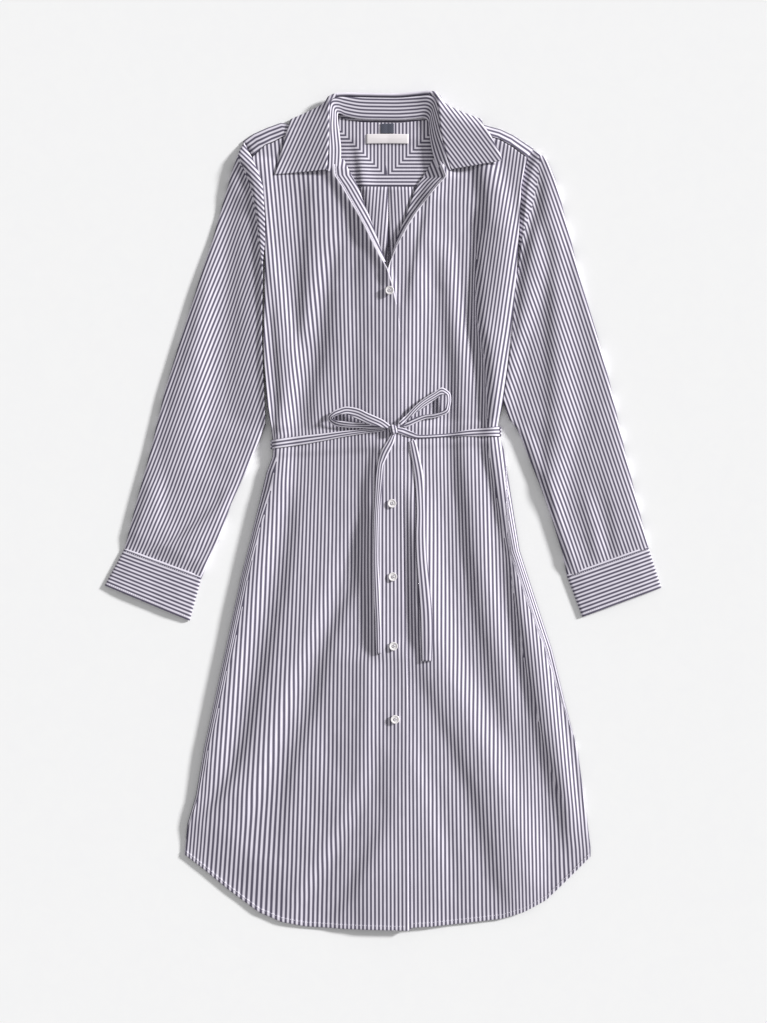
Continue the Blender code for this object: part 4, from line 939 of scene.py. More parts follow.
def flatTube(plan, top, bottom, stripes, v):  # ring round each row: over the top wall and back under it
    middle = (top[:, :1] + bottom[:, :1]) / 2, (top[:, -1:] + bottom[:, -1:]) / 2
    under = slice(-2, 0, -1)
    x = np.concatenate([plan[..., 0], plan[:, under, 0]], 1)
    y = np.concatenate([plan[..., 1], plan[:, under, 1]], 1)
    z = np.concatenate([middle[0], top[:, 1:-1], middle[1], bottom[:, under]], 1)
    v = np.concatenate([v, v[:, under]], 1)
    u = stripes(np.concatenate([x, x[:, :1]], 1), np.concatenate([y, y[:, :1]], 1))
    return grid(np.stack([x, y, z], -1), u, v, ring=True)


def makeSleeve(name, node, armhole, outer, inner, flanks, lean, sign):
    p = sleeves
    edge = np.array([0, 0.002, 0.006, 0.012, 0.02])
    s = np.concatenate([edge, np.linspace(0.035, 0.965, p["columns"]), 1 - edge[::-1]])
    t = np.concatenate([[0, 0.004], np.linspace(0.009, 0.99, p["rows"]), [0.996, 1.0]])
    plan = patch(armhole, [outer[-1], inner[-1]], outer, inner, s, t)
    if sign > 0:  # columns run from low x to high x on both sleeves
        plan = plan[:, ::-1]
    down = (t * p["length"])[:, None]
    x, y = plan[..., 0], plan[..., 1]
    toBody = s if sign > 0 else 1 - s
    joined = smooth((y - body["chestFoot"]) / 30) if sign > 0 else 0 * y  # the left sleeve stays high along the front
    swell = smooth((1 - toBody) / p["edgeShare"]) * mix(smooth(toBody / p["edgeShare"]), 1, joined)
    fromEdge = np.minimum((1 - toBody) / 0.02, toBody / mix(0.02, 0.005, joined))
    rim = rounded(fromEdge)
    sides = [[(y0, x0) for x0, y0 in table] for table in (outer, armhole + inner[1:])]
    low, high = sides if sign < 0 else sides[::-1]
    field = foldField(flanks, lambda v: edgeX(low, v), lambda v: edgeX(high, v), p["foldStrength"])
    nearBody = mix(0.3, 1.0, smooth((down - 4) / 40))
    height = p["edgeLow"] + p["edgeHigh"] * rim + nearBody * swell * np.maximum(
        p["softness"] + fromField(field, x, y) + 0.4 * hills(x, y * 0.7, 18, 8), -4)
    if sign < 0:
        away = edgeX(rightSide, y) - x
        zone = between(y, *p["besideBody"])
        middle, width = edgeX(armholeCrease, y), edgeX(armholeCrease, y, 2)
        calm = smooth((95 - away) / 45) * zone * smooth((430 - y) / 40)
        height = mix(height, p["calmHeight"] + 0.3 * (height - p["calmHeight"]), calm)
        climb = p["rise"] * smooth(1 - away / 55) + p["climb"] * smooth(0.5 - (away - middle) / width)
        height = height + zone * climb
        height = height * mix(0.8, 1.0, smooth(down / 4))
    else:
        height = height * mix(0.34, 1.0, smooth((down - 2) / 9))
    toCuff = p["length"] - down
    height = height * mix(0.55, 1.0, smooth(toCuff / 26))
    bottom = np.full(x.shape, p["under"])
    plan = plan.copy()
    plan[..., 0] -= sign * p["tuck"] * (1 - smooth(down / 10)) * smooth((y - 330) / 40)
    if sign > 0:
        plan[..., 0] -= p["seamTuck"] * (1 - smooth(toBody / 0.04)) * between(y, *p["seamTuckAt"])
    ahead = np.array(inner[-1], float) - np.array(outer[-1], float)
    ahead = np.array([-ahead[1], ahead[0]]) / np.linalg.norm(ahead)
    ahead = ahead if ahead[1] < 0 else -ahead
    plan += ahead * (p["endTuck"] * smooth(1 - toCuff / 30))[..., None]

    def slanted(px, py):
        return (px - leanShift(py, lean)) * 0.94

    def steeper(px, py):
        return (px + py) * 0.7

    def stripes(px, py):
        u = corners(slanted(px, py))
        side, strip = (leftSide, leftStrip) if sign > 0 else (rightSide, rightStrip)
        u = joinStripes(u, slanted, steeper, px, py, lambda v: stripEdge(side, strip, -sign, v), -sign)
        return u + corners(body["foldPull"] * fromField(field, px, py))

    mesh = sheetMesh(name, flatTube(plan, height, bottom, stripes, y))
    piece = clothPiece(name, mesh, node, p["thickness"])
    return piece


cuffs = {
    "thickness": 1.0,
    "softness": 1.3,
    "edgeLow": 1.5,
    "edgeHigh": 2.4,
    "under": 0.65,
    "depth": 56.0,
    "flat": (0.230, 0.060),
}
# outer top, inner top, inner bottom, outer bottom
rightCuff = [(-343.1, -49), (-240.6, -86.5), (-257, -146), (-370, -99)]
leftCuff = [(352.2, -46.1), (243.7, -84.6), (265, -141), (370, -102)]


def makeCuff(name, node, outline, sign):
    a, b, c, d = outline
    edge = np.array([0, 0.004, 0.012, 0.024])
    s = np.concatenate([edge, np.linspace(0.045, 0.955, 40), 1 - edge[::-1]])
    t = np.concatenate([[0, 0.006, 0.02], np.linspace(0.045, 0.955, 24), [0.98, 0.994, 1.0]])
    plan = patch([a, b], [d, c], [a, d], [b, c], s, t)
    if sign > 0:
        plan = plan[:, ::-1]
    swell = between(s, 0, 0.2, 1, 0.2)
    sides, ends = rounded(np.minimum(s, 1 - s) / edge[-1]), rounded(np.minimum(t, 1 - t) / 0.02)[:, None]
    x, y = plan[..., 0], plan[..., 1]
    swell = swell * (cuffs["softness"] + 0.3 * hills(x, y, 16, 12))
    top = cuffs["edgeLow"] + cuffs["edgeHigh"] * sides + swell - 0.5 * (1 - ends)
    bottom = np.full(x.shape, cuffs["under"])
    across = (t * cuffs["depth"])[:, None] * np.ones(2 * len(s) - 1)
    mesh = sheetMesh(name, flatTube(plan, top, bottom, lambda px, py: corners(across + 1.2), x))
    piece = clothPiece(name, mesh, node, cuffs["thickness"])
    return piece


# Collar, from the right end round the back to the left end: foot, roll and outer edge as x, y, z,
# and how fast the fall drops from the roll

collar = {
    "thickness": 1.3,
    "stations": 190,
    "standShare": 0.88,
    "rollBulge": 3.6,
    "clearance": 0.5,
    "openDrop": 2.0,         # the fall lies open over the fronts where it drops more slowly
    "backHalf": 62.0,        # half width of the part behind the neck
    "fallDepth": 60.0,
    "stripeShift": 2.6,
    "rightLean": 24.5,       # lean of the stripes on each wing, in degrees
    "leftLean": -37.0,
    "flatStand": (0.290, 0.030),
    "flatFall": (0.400, 0.070),
}
collarTable = [
    (-59, 443, 9.0, -75.5, 452, 13.5, -144, 446, 8.0, 1.3),
    (-57, 452, 9.6, -75.5, 461, 14.5, -140.5, 458, 8.0, 1.3),
    (-55.5, 478, 10.6, -74, 482, 15.5, -134.5, 480, 8.0, 1.3),
    (-57.5, 500, 10.2, -73, 505, 15.5, -129, 499, 8.0, 1.4),
    (-59.5, 514, 9.4, -72.5, 526, 14.5, -125, 511, 7.0, 1.6),
    (-60, 526, 8.0, -71, 543, 13.5, -121, 520.5, 2.4, 3.0),
    (-56, 527, 7.0, -64, 550.5, 12, -108, 508, 1.1, 7.0),
    (-48, 523.5, 6.0, -51, 552.5, 10.5, -78, 503, 1.1, 8.0),
    (-28, 520, 5.4, -30, 552.5, 9, -40, 501, 1.1, 8.0),
    (0, 519.2, 5.2, 0, 552, 8.5, 0, 500.5, 1.1, 8.0),
    (23, 519.2, 5.2, 23, 552, 9, 32, 501, 1.1, 8.0),
    (41, 520.5, 4.8, 45, 553.5, 11.5, 68, 503, 1.1, 8.0),
    (54, 522, 4.8, 61, 554, 15.5, 92, 505, 1.1, 8.0),
    (60, 518, 4.6, 69.5, 551.5, 16.5, 112, 508.5, 1.1, 7.0),
    (61, 511, 4.6, 73.5, 542, 16, 128.5, 520.5, 3.4, 3.0),
    (62, 500, 5.0, 76, 525, 15, 133, 511, 13.5, 1.4),
    (64, 486, 6.2, 78, 504, 14.5, 141, 500, 16, 1.2),
    (67, 472, 7.4, 83, 483, 14.0, 149.5, 484, 16.0, 1.1),
    (72.5, 456, 8.2, 88, 464, 13.5, 155.5, 472, 15.4, 1.1),
    (78, 444, 8.6, 91.5, 453, 12.5, 158.5, 464, 14.6, 1.1),
]


def makeCollar(under):
    p = collar
    stations = smoothRows(collarTable, np.linspace(0, len(collarTable) - 1, p["stations"]))
    foot, roll, edge, drop = stations[:, 0:3], stations[:, 3:6], stations[:, 6:9], stations[:, 9]
    rise = roll - foot
    length, run = np.linalg.norm(rise, axis=1), reached(foot)

    k = np.linspace(0, p["standShare"], 12)
    stand = foot[:, None] + rise[:, None] * k[None, :, None]
    u = length[:, None] * k[None] + 1.2
    mesh = sheetMesh("collarStand", grid(stand, u, run[:, None]))
    standPiece = clothPiece("collarStand", mesh, "collar_stand", p["thickness"], 0.0)

    outward = rise[:, :2] / np.linalg.norm(rise[:, :2], axis=1, keepdims=True)
    tucked = np.clip((drop - 1.6) / 3.0, 0, 1)
    w = np.concatenate([[0, 0.015, 0.03, 0.05, 0.075, 0.1, 0.135, 0.17, 0.21, 0.26], np.linspace(0.32, 1, 15)])
    rows = [foot + rise * (p["standShare"] + 0.5 / length)[:, None]]
    for share in w:
        plan = roll[:, :2] * (1 - share) + edge[:, :2] * share
        plan = plan + outward * (p["rollBulge"] * tucked * np.exp(-((share - 0.05) / 0.06) ** 2))[:, None]
        z = edge[:, 2] + (roll[:, 2] - edge[:, 2]) * (1 - share) ** drop
        rows.append(np.concatenate([plan, z[:, None]], 1))
    fall = np.stack(rows, 1)
    top = surfaceUnder(under)
    for i in np.flatnonzero(drop < p["openDrop"]):
        for j in range(2, fall.shape[1]):
            x, y, z = fall[i, j]
            fall[i, j, 2] = max(z, top(x, y) + p["thickness"] / 2 + p["clearance"])
    for _ in range(3):  # the interlined collar bridges small folds
        wing = fall[:, 3:, 2]
        wing[:, 1:-1] = np.maximum(wing[:, 1:-1], (wing[:, :-2] + wing[:, 2:]) / 2)
        wing[1:-1] = np.maximum(wing[1:-1], (wing[:-2] + wing[2:]) / 2)
    x, y = fall[..., 0], fall[..., 1]
    lean = np.radians(np.where(x < 0, p["rightLean"], p["leftLean"]))
    wings = np.where(x < 0, -1, 1) * (x * np.cos(lean) - y * np.sin(lean))
    across = np.concatenate([[-0.03], w])[None] * p["fallDepth"] - p["stripeShift"]
    atBack = np.broadcast_to(np.abs(roll[:, :1]) < p["backHalf"], x.shape)
    across = np.broadcast_to(across, x.shape)
    u = np.where(corners(atBack).all(-1, keepdims=True), corners(across), corners(wings))
    mesh = sheetMesh("collarFall", grid(fall, u, run[:, None]))
    fallPiece = clothPiece("collarFall", mesh, "collar_fall", p["thickness"], 0.0)
    return standPiece, fallPiece


# Belt: laid over the front, tied in a bow, passing behind the back

beltSizes = {
    "thickness": 1.0,
    "gap": 0.4,
    "across": 9,
    "step": 2.6,
    "edgeDrop": 0.35,
    "tailHollow": 0.5,
    "behindThickness": 0.9,
    "knotGap": 0.3,
    "knotHalf": (4.9, 6.4, 4.4),   # half its width, length and height
    "flatRight": (0.012, 0.160),
    "flatLeft": (0.010, 0.140),
    "flatBehind": (0.012, 0.310),
    "flatLoop": (0.012, 0.150),
    "flatTailRight": (0.010, 0.290),
    "flatTailLeft": (0.013, 0.300),
}
knotAt = (13.6, 108)
# hanging ends: y, right edge x, left edge x, stripes across
rightTail = [
    (101, 11, 17, 2.5), (91, 5, 14.5, 2.5), (78, -2.5, 8, 2.5), (67, -6, 3, 2.5), (60, -8, 1, 3), (42, -10.5, 0, 3.5),
    (14, -11.5, -3, 3.5), (-13, -12.5, -5, 3), (-65, -13, -6, 2.5), (-106, -12.5, -4, 2.5), (-140, -10.5, -3, 2.5),
    (-162, -10, -2, 2.5), (-189, -9, -2, 2.5),
]
leftTail = [
    (93, 34, 43, 2.5), (81, 36, 46.5, 2.5), (44, 42, 54, 2.5), (3, 44, 56.5, 3), (-33, 43, 57, 3), (-65, 44, 58.5, 3),
    (-106, 47, 62.5, 3), (-137, 49, 65, 3), (-172, 50, 65.5, 3), (-199, 51, 64.5, 3),
]
# loops: outer edge x, y, height over the front, inner edge x, y, height
rightLoop = [
    (9, 109.5, 2.2, 7, 111.5, 2.2), (-12, 109, 3.0, -12, 113, 3.6), (-33, 110, 3.4, -27, 116.5, 5.0),
    (-52, 111, 3.4, -46, 118, 6.0), (-65, 114, 3.4, -62, 119.5, 7.2), (-73, 122.5, 4.4, -67, 123, 9.0),
    (-67, 131, 5.4, -62, 126, 8.6), (-58, 135.5, 6.0, -56, 128, 8.0), (-48, 138, 6.2, -46, 127.5, 7.6),
    (-33, 135.5, 6.4, -36, 122, 7.4), (-20, 129.5, 6.4, -23, 116.5, 7.4), (-1, 121, 6.8, -8, 112, 8.0),
    (10, 113, 7.0, 5, 109, 7.8),
]
leftLoop = [
    (28, 110.5, 1.6, 26, 112.5, 1.6), (35, 112.5, 1.8, 33, 118, 3.0), (44, 117, 1.8, 43.5, 124, 4.0),
    (56, 122, 2.4, 56, 127.5, 5.0), (69, 124, 3.4, 69, 128.5, 6.6), (85.5, 130, 5.0, 81.5, 134, 9.0),
    (89, 140, 5.5, 84.5, 141, 11.0), (90, 149, 6.0, 85, 149, 11.5), (88, 157, 6.2, 83.5, 154, 11.0),
    (78, 163.5, 6.6, 78, 153.5, 9.5), (69, 158, 6.6, 66.5, 146, 8.4), (56, 150, 6.6, 53.5, 136, 8.0),
    (43.5, 140, 6.6, 43.5, 130, 8.0), (31, 127, 6.8, 33, 121, 8.0), (20, 117, 7.0, 24, 112, 8.0),
]


def ribbonPlan(rows):  # rows of x, y, width and stripes across
    rows = np.array(rows, float)
    reach = reached(rows[:, :2])
    count = int(reach[-1] / beltSizes["step"]) + 2
    line = smoothRows(rows, np.interp(np.linspace(0, 1, count), reach / reach[-1], np.arange(len(rows))))
    middle, width, stripes = line[:, :2], line[:, 2], line[:, 3] * poplin["repeat"]
    ahead = np.gradient(middle, axis=0)
    ahead /= np.linalg.norm(ahead, axis=1, keepdims=True)
    sideways = np.stack([-ahead[:, 1], ahead[:, 0]], 1)
    k = np.linspace(-0.5, 0.5, beltSizes["across"])
    plan = middle[:, None] + sideways[:, None] * (width[:, None] * k[None])[..., None]
    run = np.linspace(0, reach[-1], count)
    return plan, stripes[:, None] * k[None], run[:, None] + 0 * k[None], k


def layRibbon(name, node, rows, top, hollow=0.0):
    plan, across, run, k = ribbonPlan(rows)
    lowest = topsAt(top, plan, 1.0)
    z = lowest.max(1, keepdims=True) * 0.5 + lowest * 0.5
    z = np.maximum(lowest, averaged(z, 5))
    z = z + beltSizes["gap"] + beltSizes["thickness"] + hollow * (1 - (2 * k[None]) ** 2)
    z = z - beltSizes["edgeDrop"] * (np.abs(k[None]) > 0.49)
    points = np.concatenate([plan, z[..., None]], -1)
    mesh = sheetMesh(name, grid(points, across + poplin["repeat"] / 2, run))
    mesh.update()
    if mesh.polygons[len(mesh.polygons) // 2].normal.z < 0:
        mesh.flip_normals()
    piece = clothPiece(name, mesh, node, beltSizes["thickness"])
    return piece


def makeKnot(top):
    x0, y0 = knotAt
    base = top(x0, y0, 4) + beltSizes["knotGap"]
    angles = np.linspace(0, 2 * math.pi, 48, endpoint=False)
    k = np.linspace(-1, 1, 25)
    halfWide, halfDeep, halfHigh = beltSizes["knotHalf"]
    swell = (1 - np.abs(k) ** 3.2) ** 0.42
    pinch = 1 - 0.12 * np.exp(-((k - 0.25) / 0.16) ** 2) - 0.10 * np.exp(-((k + 0.4) / 0.14) ** 2)
    radius = (swell * pinch)[:, None]
    ripple = 1 + 0.05 * np.sin(3 * angles + 1.0)[None] * swell[:, None]
    slant = 1.2 * k[:, None]
    x = x0 + slant + halfWide * radius * ripple * np.cos(angles)[None]
    z = base + halfHigh * (1 + radius * ripple * np.sin(angles)[None])
    y = y0 - halfDeep * k[:, None] + 0 * angles[None]
    points = np.stack([x, y, z], -1)
    u = x - x0 - slant + poplin["repeat"] * 50.5
    v = (k * 7.0)[:, None] + 0 * angles[None]
    mesh = sheetMesh("beltKnot", grid(points, u, v, ring=True))
    faceOutwards(mesh, 0.02)
    return newPiece("beltKnot", mesh, stripedCloth, "striped_cotton", ("belt_knot",))


def makeLoop(name, node, table, top):
    ring = smoothRows(table, np.linspace(0, len(table) - 1, 110))
    k = np.linspace(0, 1, 9)[None, :, None]
    points = ring[:, None, :3] * (1 - k) + ring[:, None, 3:] * k
    width = np.linalg.norm(ring[:, 3:] - ring[:, :3], axis=1)
    base = topsAt(top, points, 2.0)
    points[..., 2] += np.maximum(base, averaged(base, 7))
    u = k[..., 0] * width[:, None] * 1.2 + 1.6
    mesh = sheetMesh(name, grid(points, u, reached(ring[:, :3])[:, None]))
    return clothPiece(name, mesh, node, beltSizes["thickness"], 0.0)


def makeBelt(panels):
    b = beltSizes
    top = surfaceUnder(panels)
    pieces = []
    knot = makeKnot(top)
    for name, node, rows in (
        ("beltRight", "belt_right", [row for row in beltLine if row[0] < knotAt[0]]),
        ("beltLeft", "belt_left", [row for row in beltLine if row[0] > knotAt[0]]),
    ):
        flat = b["flatRight"] if name == "beltRight" else b["flatLeft"]
        pieces.append(layRibbon(name, node, rows, top))
    low, high = beltLine[0][0], beltLine[-1][0]
    under = 0.5
    ends = [(0.4, 6.0), (-0.4, 5.4), (-0.8, 3.6), (-0.6, 1.6), (0.2, 0.7), (1.6, under)]
    path = [(low + dx, z) for dx, z in ends] + [(x, under) for x in np.linspace(low + 8, high - 8, 40)]
    path += [(high - dx, z) for dx, z in reversed(ends)]
    path = np.array(path)
    k = np.linspace(-0.5, 0.5, 7)[None]
    y = backBeltY(path[:, 0])[:, None] + k * body["backBeltWidth"]
    x = path[:, :1] + 0 * k
    points = np.stack([x, y, path[:, 1:] + 0 * k], -1)
    mesh = sheetMesh("beltBehind", grid(points, k * body["backBeltWidth"] + 0 * x, x))
    behind = clothPiece("beltBehind", mesh, "belt_back", b["behindThickness"], 0.0)
    loops = []
    for name, node, table in (
        ("bowLoopRight", "bow_loop_right", rightLoop), ("bowLoopLeft", "bow_loop_left", leftLoop),
    ):
        loop = makeLoop(name, node, table, top)
        loops.append(loop)
    for name, node, table, flat in (
        ("beltTailRight", "belt_tail_right", rightTail, b["flatTailRight"]),
        ("beltTailLeft", "belt_tail_left", leftTail, b["flatTailLeft"]),
    ):
        rows = [((a + c) / 2, y, c - a, stripes) for y, a, c, stripes in table]
        pieces.append(layRibbon(name, node, rows, top, b["tailHollow"]))
    return pieces + loops + [knot, behind]


# Buttons, modelled once and copied

buttons = {
    "diameter": 11.5,
    "thickness": 2.6,
    "rim": 1.4,
    "slope": 0.55,
    "dish": 0.55,
    "foot": 0.4,
    "bevel": 0.38,
    "holeSpacing": 1.15,
    "hole": 0.85,
    "thread": 0.38,
    "gap": 0.2,
    "reach": 4.4,            # the cloth is felt this far from the button's centre
    "leanLift": 2.6,         # the centre rises as the button leans
}
# x, y, lean in degrees; the first one lies against the slope of the open edge
buttonsAt = [(9, 292, 8), (12, 10, 0), (13, -87, 0), (14, -179, 0), (16, -276, 0)]


def selectOnly(thing):
    bpy.ops.object.select_all(action="DESELECT")
    thing.select_set(True)
    bpy.context.view_layer.objects.active = thing


def applyModifier(thing, kind, **settings):
    modifier = thing.modifiers.new(kind, kind)
    for name, value in settings.items():
        setattr(modifier, name, value)
    selectOnly(thing)
    bpy.ops.object.modifier_apply(modifier=modifier.name)


def turnedButton():
    b = buttons
    high = b["thickness"] * mm
    bpy.ops.object.select_all(action="DESELECT")
    bpy.ops.mesh.primitive_cylinder_add(
        vertices=48, radius=b["diameter"] / 2 * mm, depth=high, location=(0, 0, high / 2))
    button = bpy.context.object
    bpy.ops.object.transform_apply(location=True, rotation=True, scale=True)
    selectOnly(button)
    bpy.ops.object.mode_set(mode="EDIT")
    for up, insets in ((1, [(b["rim"], 0), (b["slope"], -b["dish"])]), (-1, [(b["foot"], 0)])):
        bpy.ops.mesh.select_all(action="DESELECT")
        shape = bmesh.from_edit_mesh(button.data)
        for face in shape.faces:
            face.select = up * face.normal.z > 0.9
        bmesh.update_edit_mesh(button.data)
        for thickness, depth in insets:
            bpy.ops.mesh.inset(thickness=thickness * mm, depth=depth * mm)
    bpy.ops.object.mode_set(mode="OBJECT")
    applyModifier(button, "BEVEL", width=b["bevel"] * mm, segments=3, limit_method="ANGLE",
                  angle_limit=math.radians(25))
    for dx in (-1, 1):
        for dy in (-1, 1):
            bpy.ops.object.select_all(action="DESELECT")
            bpy.ops.mesh.primitive_cylinder_add(
                vertices=14, radius=b["hole"] * mm, depth=4 * high,
                location=(dx * b["holeSpacing"] * mm, dy * b["holeSpacing"] * mm, 0))
            drill = bpy.context.object
            applyModifier(button, "BOOLEAN", object=drill, operation="DIFFERENCE", solver="EXACT")
            bpy.data.objects.remove(drill)
    return button


def layOn(points, turn, lean, x, y, base):  # turned on its own axis, then leant, then put in place
    across = points[:, 0] * math.cos(turn) - points[:, 1] * math.sin(turn)
    along = points[:, 0] * math.sin(turn) + points[:, 1] * math.cos(turn)
    high = points[:, 2]
    return np.stack([
        across * math.cos(lean) - high * math.sin(lean) + x, along + y,
        high * math.cos(lean) + across * math.sin(lean) + base], -1)


def makeButtons(panels):
    top = surfaceUnder(panels)
    master = turnedButton()
    pieces = []
    for number, (x, y, lean) in enumerate(buttonsAt, 1):
        lean = math.radians(lean)
        base = top(x, y, buttons["reach"]) + buttons["gap"] + buttons["leanLift"] * math.sin(lean)
        mesh = master.data.copy()
        turn = math.radians(7 * number)
        place = np.zeros(len(mesh.vertices) * 3)
        mesh.vertices.foreach_get("co", place)
        place = layOn(place.reshape(-1, 3) / mm, turn, lean, x, y, base) * mm
        mesh.vertices.foreach_set("co", place.ravel())
        mesh.materials.clear()
        button = newPiece("button%d" % number, mesh, shell, "button_shell", ("button_%d" % number,))
        selectOnly(button)
        bpy.ops.object.shade_smooth_by_angle(angle=math.radians(40))
        pieces.append(button)
        lines = []
        for side in (-1, 1):  # two bars of thread through the holes
            s = np.linspace(-1, 1, 7)
            reach = buttons["holeSpacing"]
            high = buttons["thickness"] - buttons["dish"] + 0.35 - 0.9 * s ** 6
            bar = np.stack([side * reach + 0 * s, s * (reach + 0.25), high], -1)
            lines.append(layOn(bar, turn, lean, x, y, base))
        mesh = cordMesh("buttonThread%d" % number, lines, buttons["thread"])
        pieces.append(newPiece("buttonThread%d" % number, mesh, thread, "button_shell"))
    bpy.data.objects.remove(master)
    return pieces


# Sewing: rows of separate stitches along the hem and the cuffs

sewing = {
    "stitch": 2.0,
    "space": 2.9,
    "width": 0.55,
    "hemInset": 5.6,
    "hemRight": (-261.0, 31.0),      # x of the row's ends
    "hemLeft": (37.0, 273.0),
    "cuffRows": (0.07, 0.93),        # shares of the cuff's depth
}


def cordMesh(name, paths, radius, sides=6):
    verts, faces = [], []
    for path in paths:
        path = np.asarray(path, float)
        ahead = np.gradient(path, axis=0)
        ahead /= np.linalg.norm(ahead, axis=1, keepdims=True)
        sideways = np.cross(ahead, (0, 0, 1.0))
        lengths = np.linalg.norm(sideways, axis=1, keepdims=True)
        sideways = np.where(lengths > 1e-3, sideways / np.maximum(lengths, 1e-3), [[1.0, 0, 0]])
        upward = np.cross(sideways, ahead)
        start = len(verts)
        n = len(path)
        for i, point in enumerate(path):
            taper = radius * (0.55 if i in (0, n - 1) else 1.0)
            for j in range(sides):
                angle = 2 * math.pi * j / sides
                verts.append(point + (sideways[i] * math.cos(angle) + upward[i] * math.sin(angle)) * taper)
        for i in range(n - 1):
            for j in range(sides):
                a, b = start + i * sides + j, start + i * sides + (j + 1) % sides
                faces.append((a, b, b + sides, a + sides))
        faces.append(tuple(start + j for j in range(sides))[::-1])
        faces.append(tuple(start + (n - 1) * sides + j for j in range(sides)))
    mesh = bpy.data.meshes.new(name)
    mesh.from_pydata((np.array(verts) * mm).tolist(), [], faces)
    faceOutwards(mesh)
    return mesh


def stitchRow(path, top, lift=0.12):  # separate stitches along a line drawn on the cloth
    s = sewing
    path = np.asarray(path, float)
    total = reached(path)[-1]
    rows = []
    for i in range(int(total / s["space"])):
        at = (np.array([0.0, 0.35, 0.65, 1.0]) * s["stitch"] + i * s["space"]) / total
        plan = along(path, np.minimum(at, 1.0))
        z = topsAt(top, plan) + np.array([-0.1, lift, lift, -0.1])
        rows.append(np.concatenate([plan, z[:, None]], 1))
    return rows


def makeSewing(pieces):
    s = sewing

    def sewn(name, lines):
        return newPiece(name, cordMesh(name, lines, s["width"] / 2, 4), thread, "striped_cotton")

    made = []
    for name, front, ends in (
        ("hemStitchesRight", "frontRight", s["hemRight"]), ("hemStitchesLeft", "frontLeft", s["hemLeft"]),
    ):
        x = np.linspace(*ends, 130)
        path = np.stack([x, hemY(x) + s["hemInset"]], 1)
        made.append(sewn(name, stitchRow(path, surfaceUnder([pieces[front]]))))
    for name, cuff, outline in (
        ("cuffStitchesRight", "cuffRight", rightCuff), ("cuffStitchesLeft", "cuffLeft", leftCuff),
    ):
        top = surfaceUnder([pieces[cuff]])
        a, b, c, d = np.array(outline, float)
        lines = []
        for share in s["cuffRows"]:
            start, end = mix(a, d, share), mix(b, c, share)
            lines += stitchRow(start + (end - start) * np.linspace(0.03, 0.97, 30)[:, None], top)
        made.append(sewn(name, lines))
    return made


# Label and hanger tape inside the neck

trim = {
    "thickness": 0.6,
    "gap": 0.35,
    "wave": 0.25,            # it ripples between its stitched ends
    "flatLabel": (0.056, 0.0125),
    "flatTape": (0.0175, 0.0133),
}
labelBox = (-22, 34, 488, 500.5)
tapeBox = (-3, 14.5, 501.2, 514.5)


def makeTrim(under):
    top = surfaceUnder([under])
    made = []
    for name, node, (x0, x1, y0, y1), material, slot, flat in (
        ("neckLabel", "neck_label", labelBox, damask, "woven_label", trim["flatLabel"]),
        ("hangerTape", "hanger_loop", tapeBox, twill, "plain_tape", trim["flatTape"]),
    ):
        x, y = np.meshgrid(np.linspace(x0, x1, 29), np.linspace(y1, y0, 12))
        y = y + 0.4 * np.sin((x - x0) / 17)
        wave = np.abs(np.sin((x - x0) / (x1 - x0) * math.pi * 2))
        z = topsAt(top, np.stack([x, y], -1), 1.0) + trim["gap"] + trim["thickness"] + trim["wave"] * wave
        mesh = sheetMesh(name, grid(np.stack([x, y, z], -1), x, y))
        piece = clothPiece(name, mesh, node, trim["thickness"], -1.0, material, slot)
        made.append(piece)
    return made


# Stage, camera and light

stage = {
    "floorSize": 6.0,
    "lens": 85.0,
    "sensor": 36.0,
    "mmPerPixel": 1.33,
    "pictureRows": 1023,
    "aim": (0.0007, -0.0007, 0.0),
    "sunFrom": (25.0, 21.0),   # degrees: round from +X towards +Y, then up
    "sunAngle": 8.0,
    "sunStrength": 4.95,
    "skyStrength": 0.45,
}


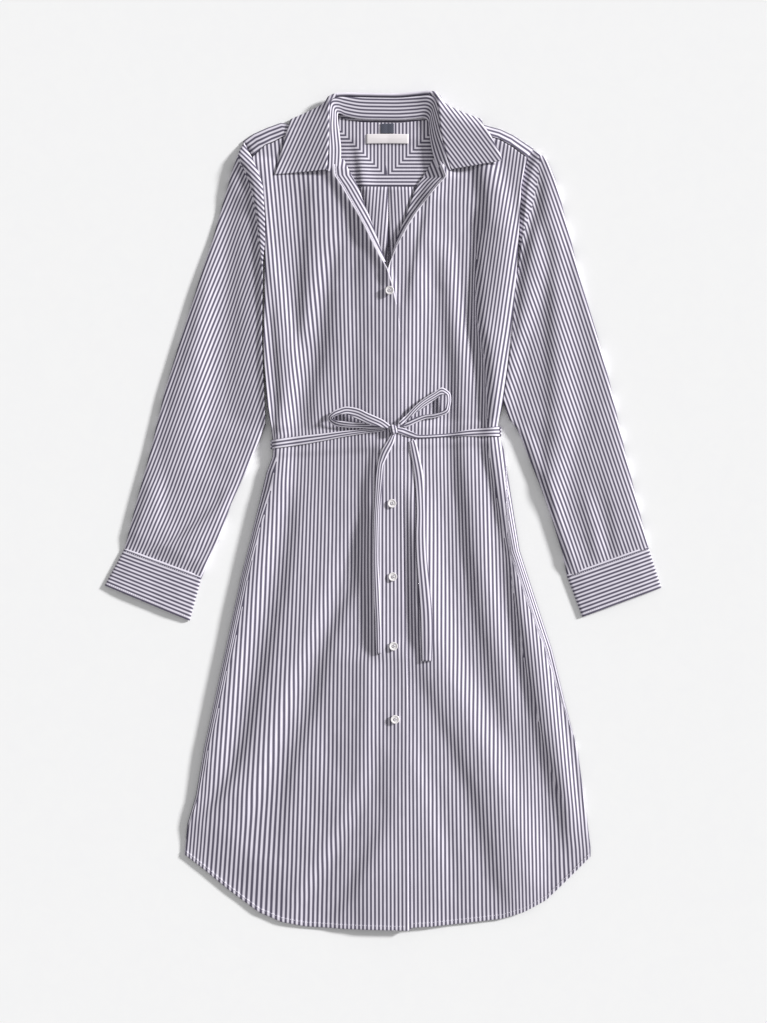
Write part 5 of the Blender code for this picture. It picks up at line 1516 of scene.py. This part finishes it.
def makeStage():
    bpy.ops.object.select_all(action="DESELECT")
    bpy.ops.mesh.primitive_plane_add(size=stage["floorSize"], location=(0, 0, -0.0003))
    floor = bpy.context.object
    floor.name = "floorBoard"
    bpy.ops.object.transform_apply(location=True, rotation=True, scale=True)
    paint, _ = mottledMaterial("mattPaintedBoard", 0.9, 40.0, "#f1f1f2", "#f4f4f4", 0.02)
    floor.data.materials.append(paint)

    camera = bpy.data.objects.new("camera", bpy.data.cameras.new("camera"))
    camera.data.lens = stage["lens"]
    camera.data.sensor_fit = "VERTICAL"
    camera.data.sensor_height = stage["sensor"]
    tall = stage["pictureRows"] * stage["mmPerPixel"] * mm
    away = tall * stage["lens"] / stage["sensor"]
    camera.location = (stage["aim"][0], stage["aim"][1], away)
    camera.data.clip_end = 50.0
    scene.collection.objects.link(camera)
    scene.camera = camera

    around, up = (math.radians(angle) for angle in stage["sunFrom"])
    source = Vector((math.cos(up) * math.cos(around), math.cos(up) * math.sin(around), math.sin(up)))
    sun = bpy.data.objects.new("softSun", bpy.data.lights.new("softSun", "SUN"))
    sun.data.energy = stage["sunStrength"]
    sun.data.angle = math.radians(stage["sunAngle"])
    sun.rotation_mode = "QUATERNION"
    sun.rotation_quaternion = source.to_track_quat("Z", "Y")
    scene.collection.objects.link(sun)

    world = bpy.data.worlds.new("studioSky")
    world.use_nodes = True
    sky = world.node_tree.nodes["Background"]
    sky.inputs["Color"].default_value = (1.0, 1.0, 1.0, 1.0)
    sky.inputs["Strength"].default_value = stage["skyStrength"]
    scene.world = world
    scene.view_settings.view_transform = "Standard"


makeStage()
print("stage, camera and light made")
pieces = {}


def keep(*made):
    for piece in made:
        pieces[piece.name] = piece


keep(makeBack())
keep(makeYoke())
print("back and yoke made")
keep(*makeFronts())
keep(makeFacing("facingRight", "facing_right", rightFrontEdge, rightFacing, -1))
keep(makeFacing("facingLeft", "facing_left", leftFrontEdge, leftFacing, 1))
print("fronts and facings made")
keep(makeSleeve("sleeveRight", "sleeve_right", rightArmhole, rightSleeveOuter, rightSleeveInner,
                rightSleeveFlanks, rightSleeveLean, -1))
keep(makeSleeve("sleeveLeft", "sleeve_left", leftArmhole, leftSleeveOuter, leftSleeveInner,
                leftSleeveFlanks, leftSleeveLean, 1))
keep(makeCuff("cuffRight", "cuff_right", rightCuff, -1))
keep(makeCuff("cuffLeft", "cuff_left", leftCuff, 1))
print("sleeves and cuffs made")
panels = [pieces["frontRight"], pieces["frontLeft"]]
keep(*makeCollar(panels + [pieces["yokePanel"]]))
print("collar made")
keep(*makeBelt(panels))
print("belt and bow made")
keep(*makeButtons(panels))
keep(*makeTrim(pieces["yokePanel"]))
keep(*makeSewing(pieces))
print("buttons, label, tape and sewing made:", len(pieces), "pieces")
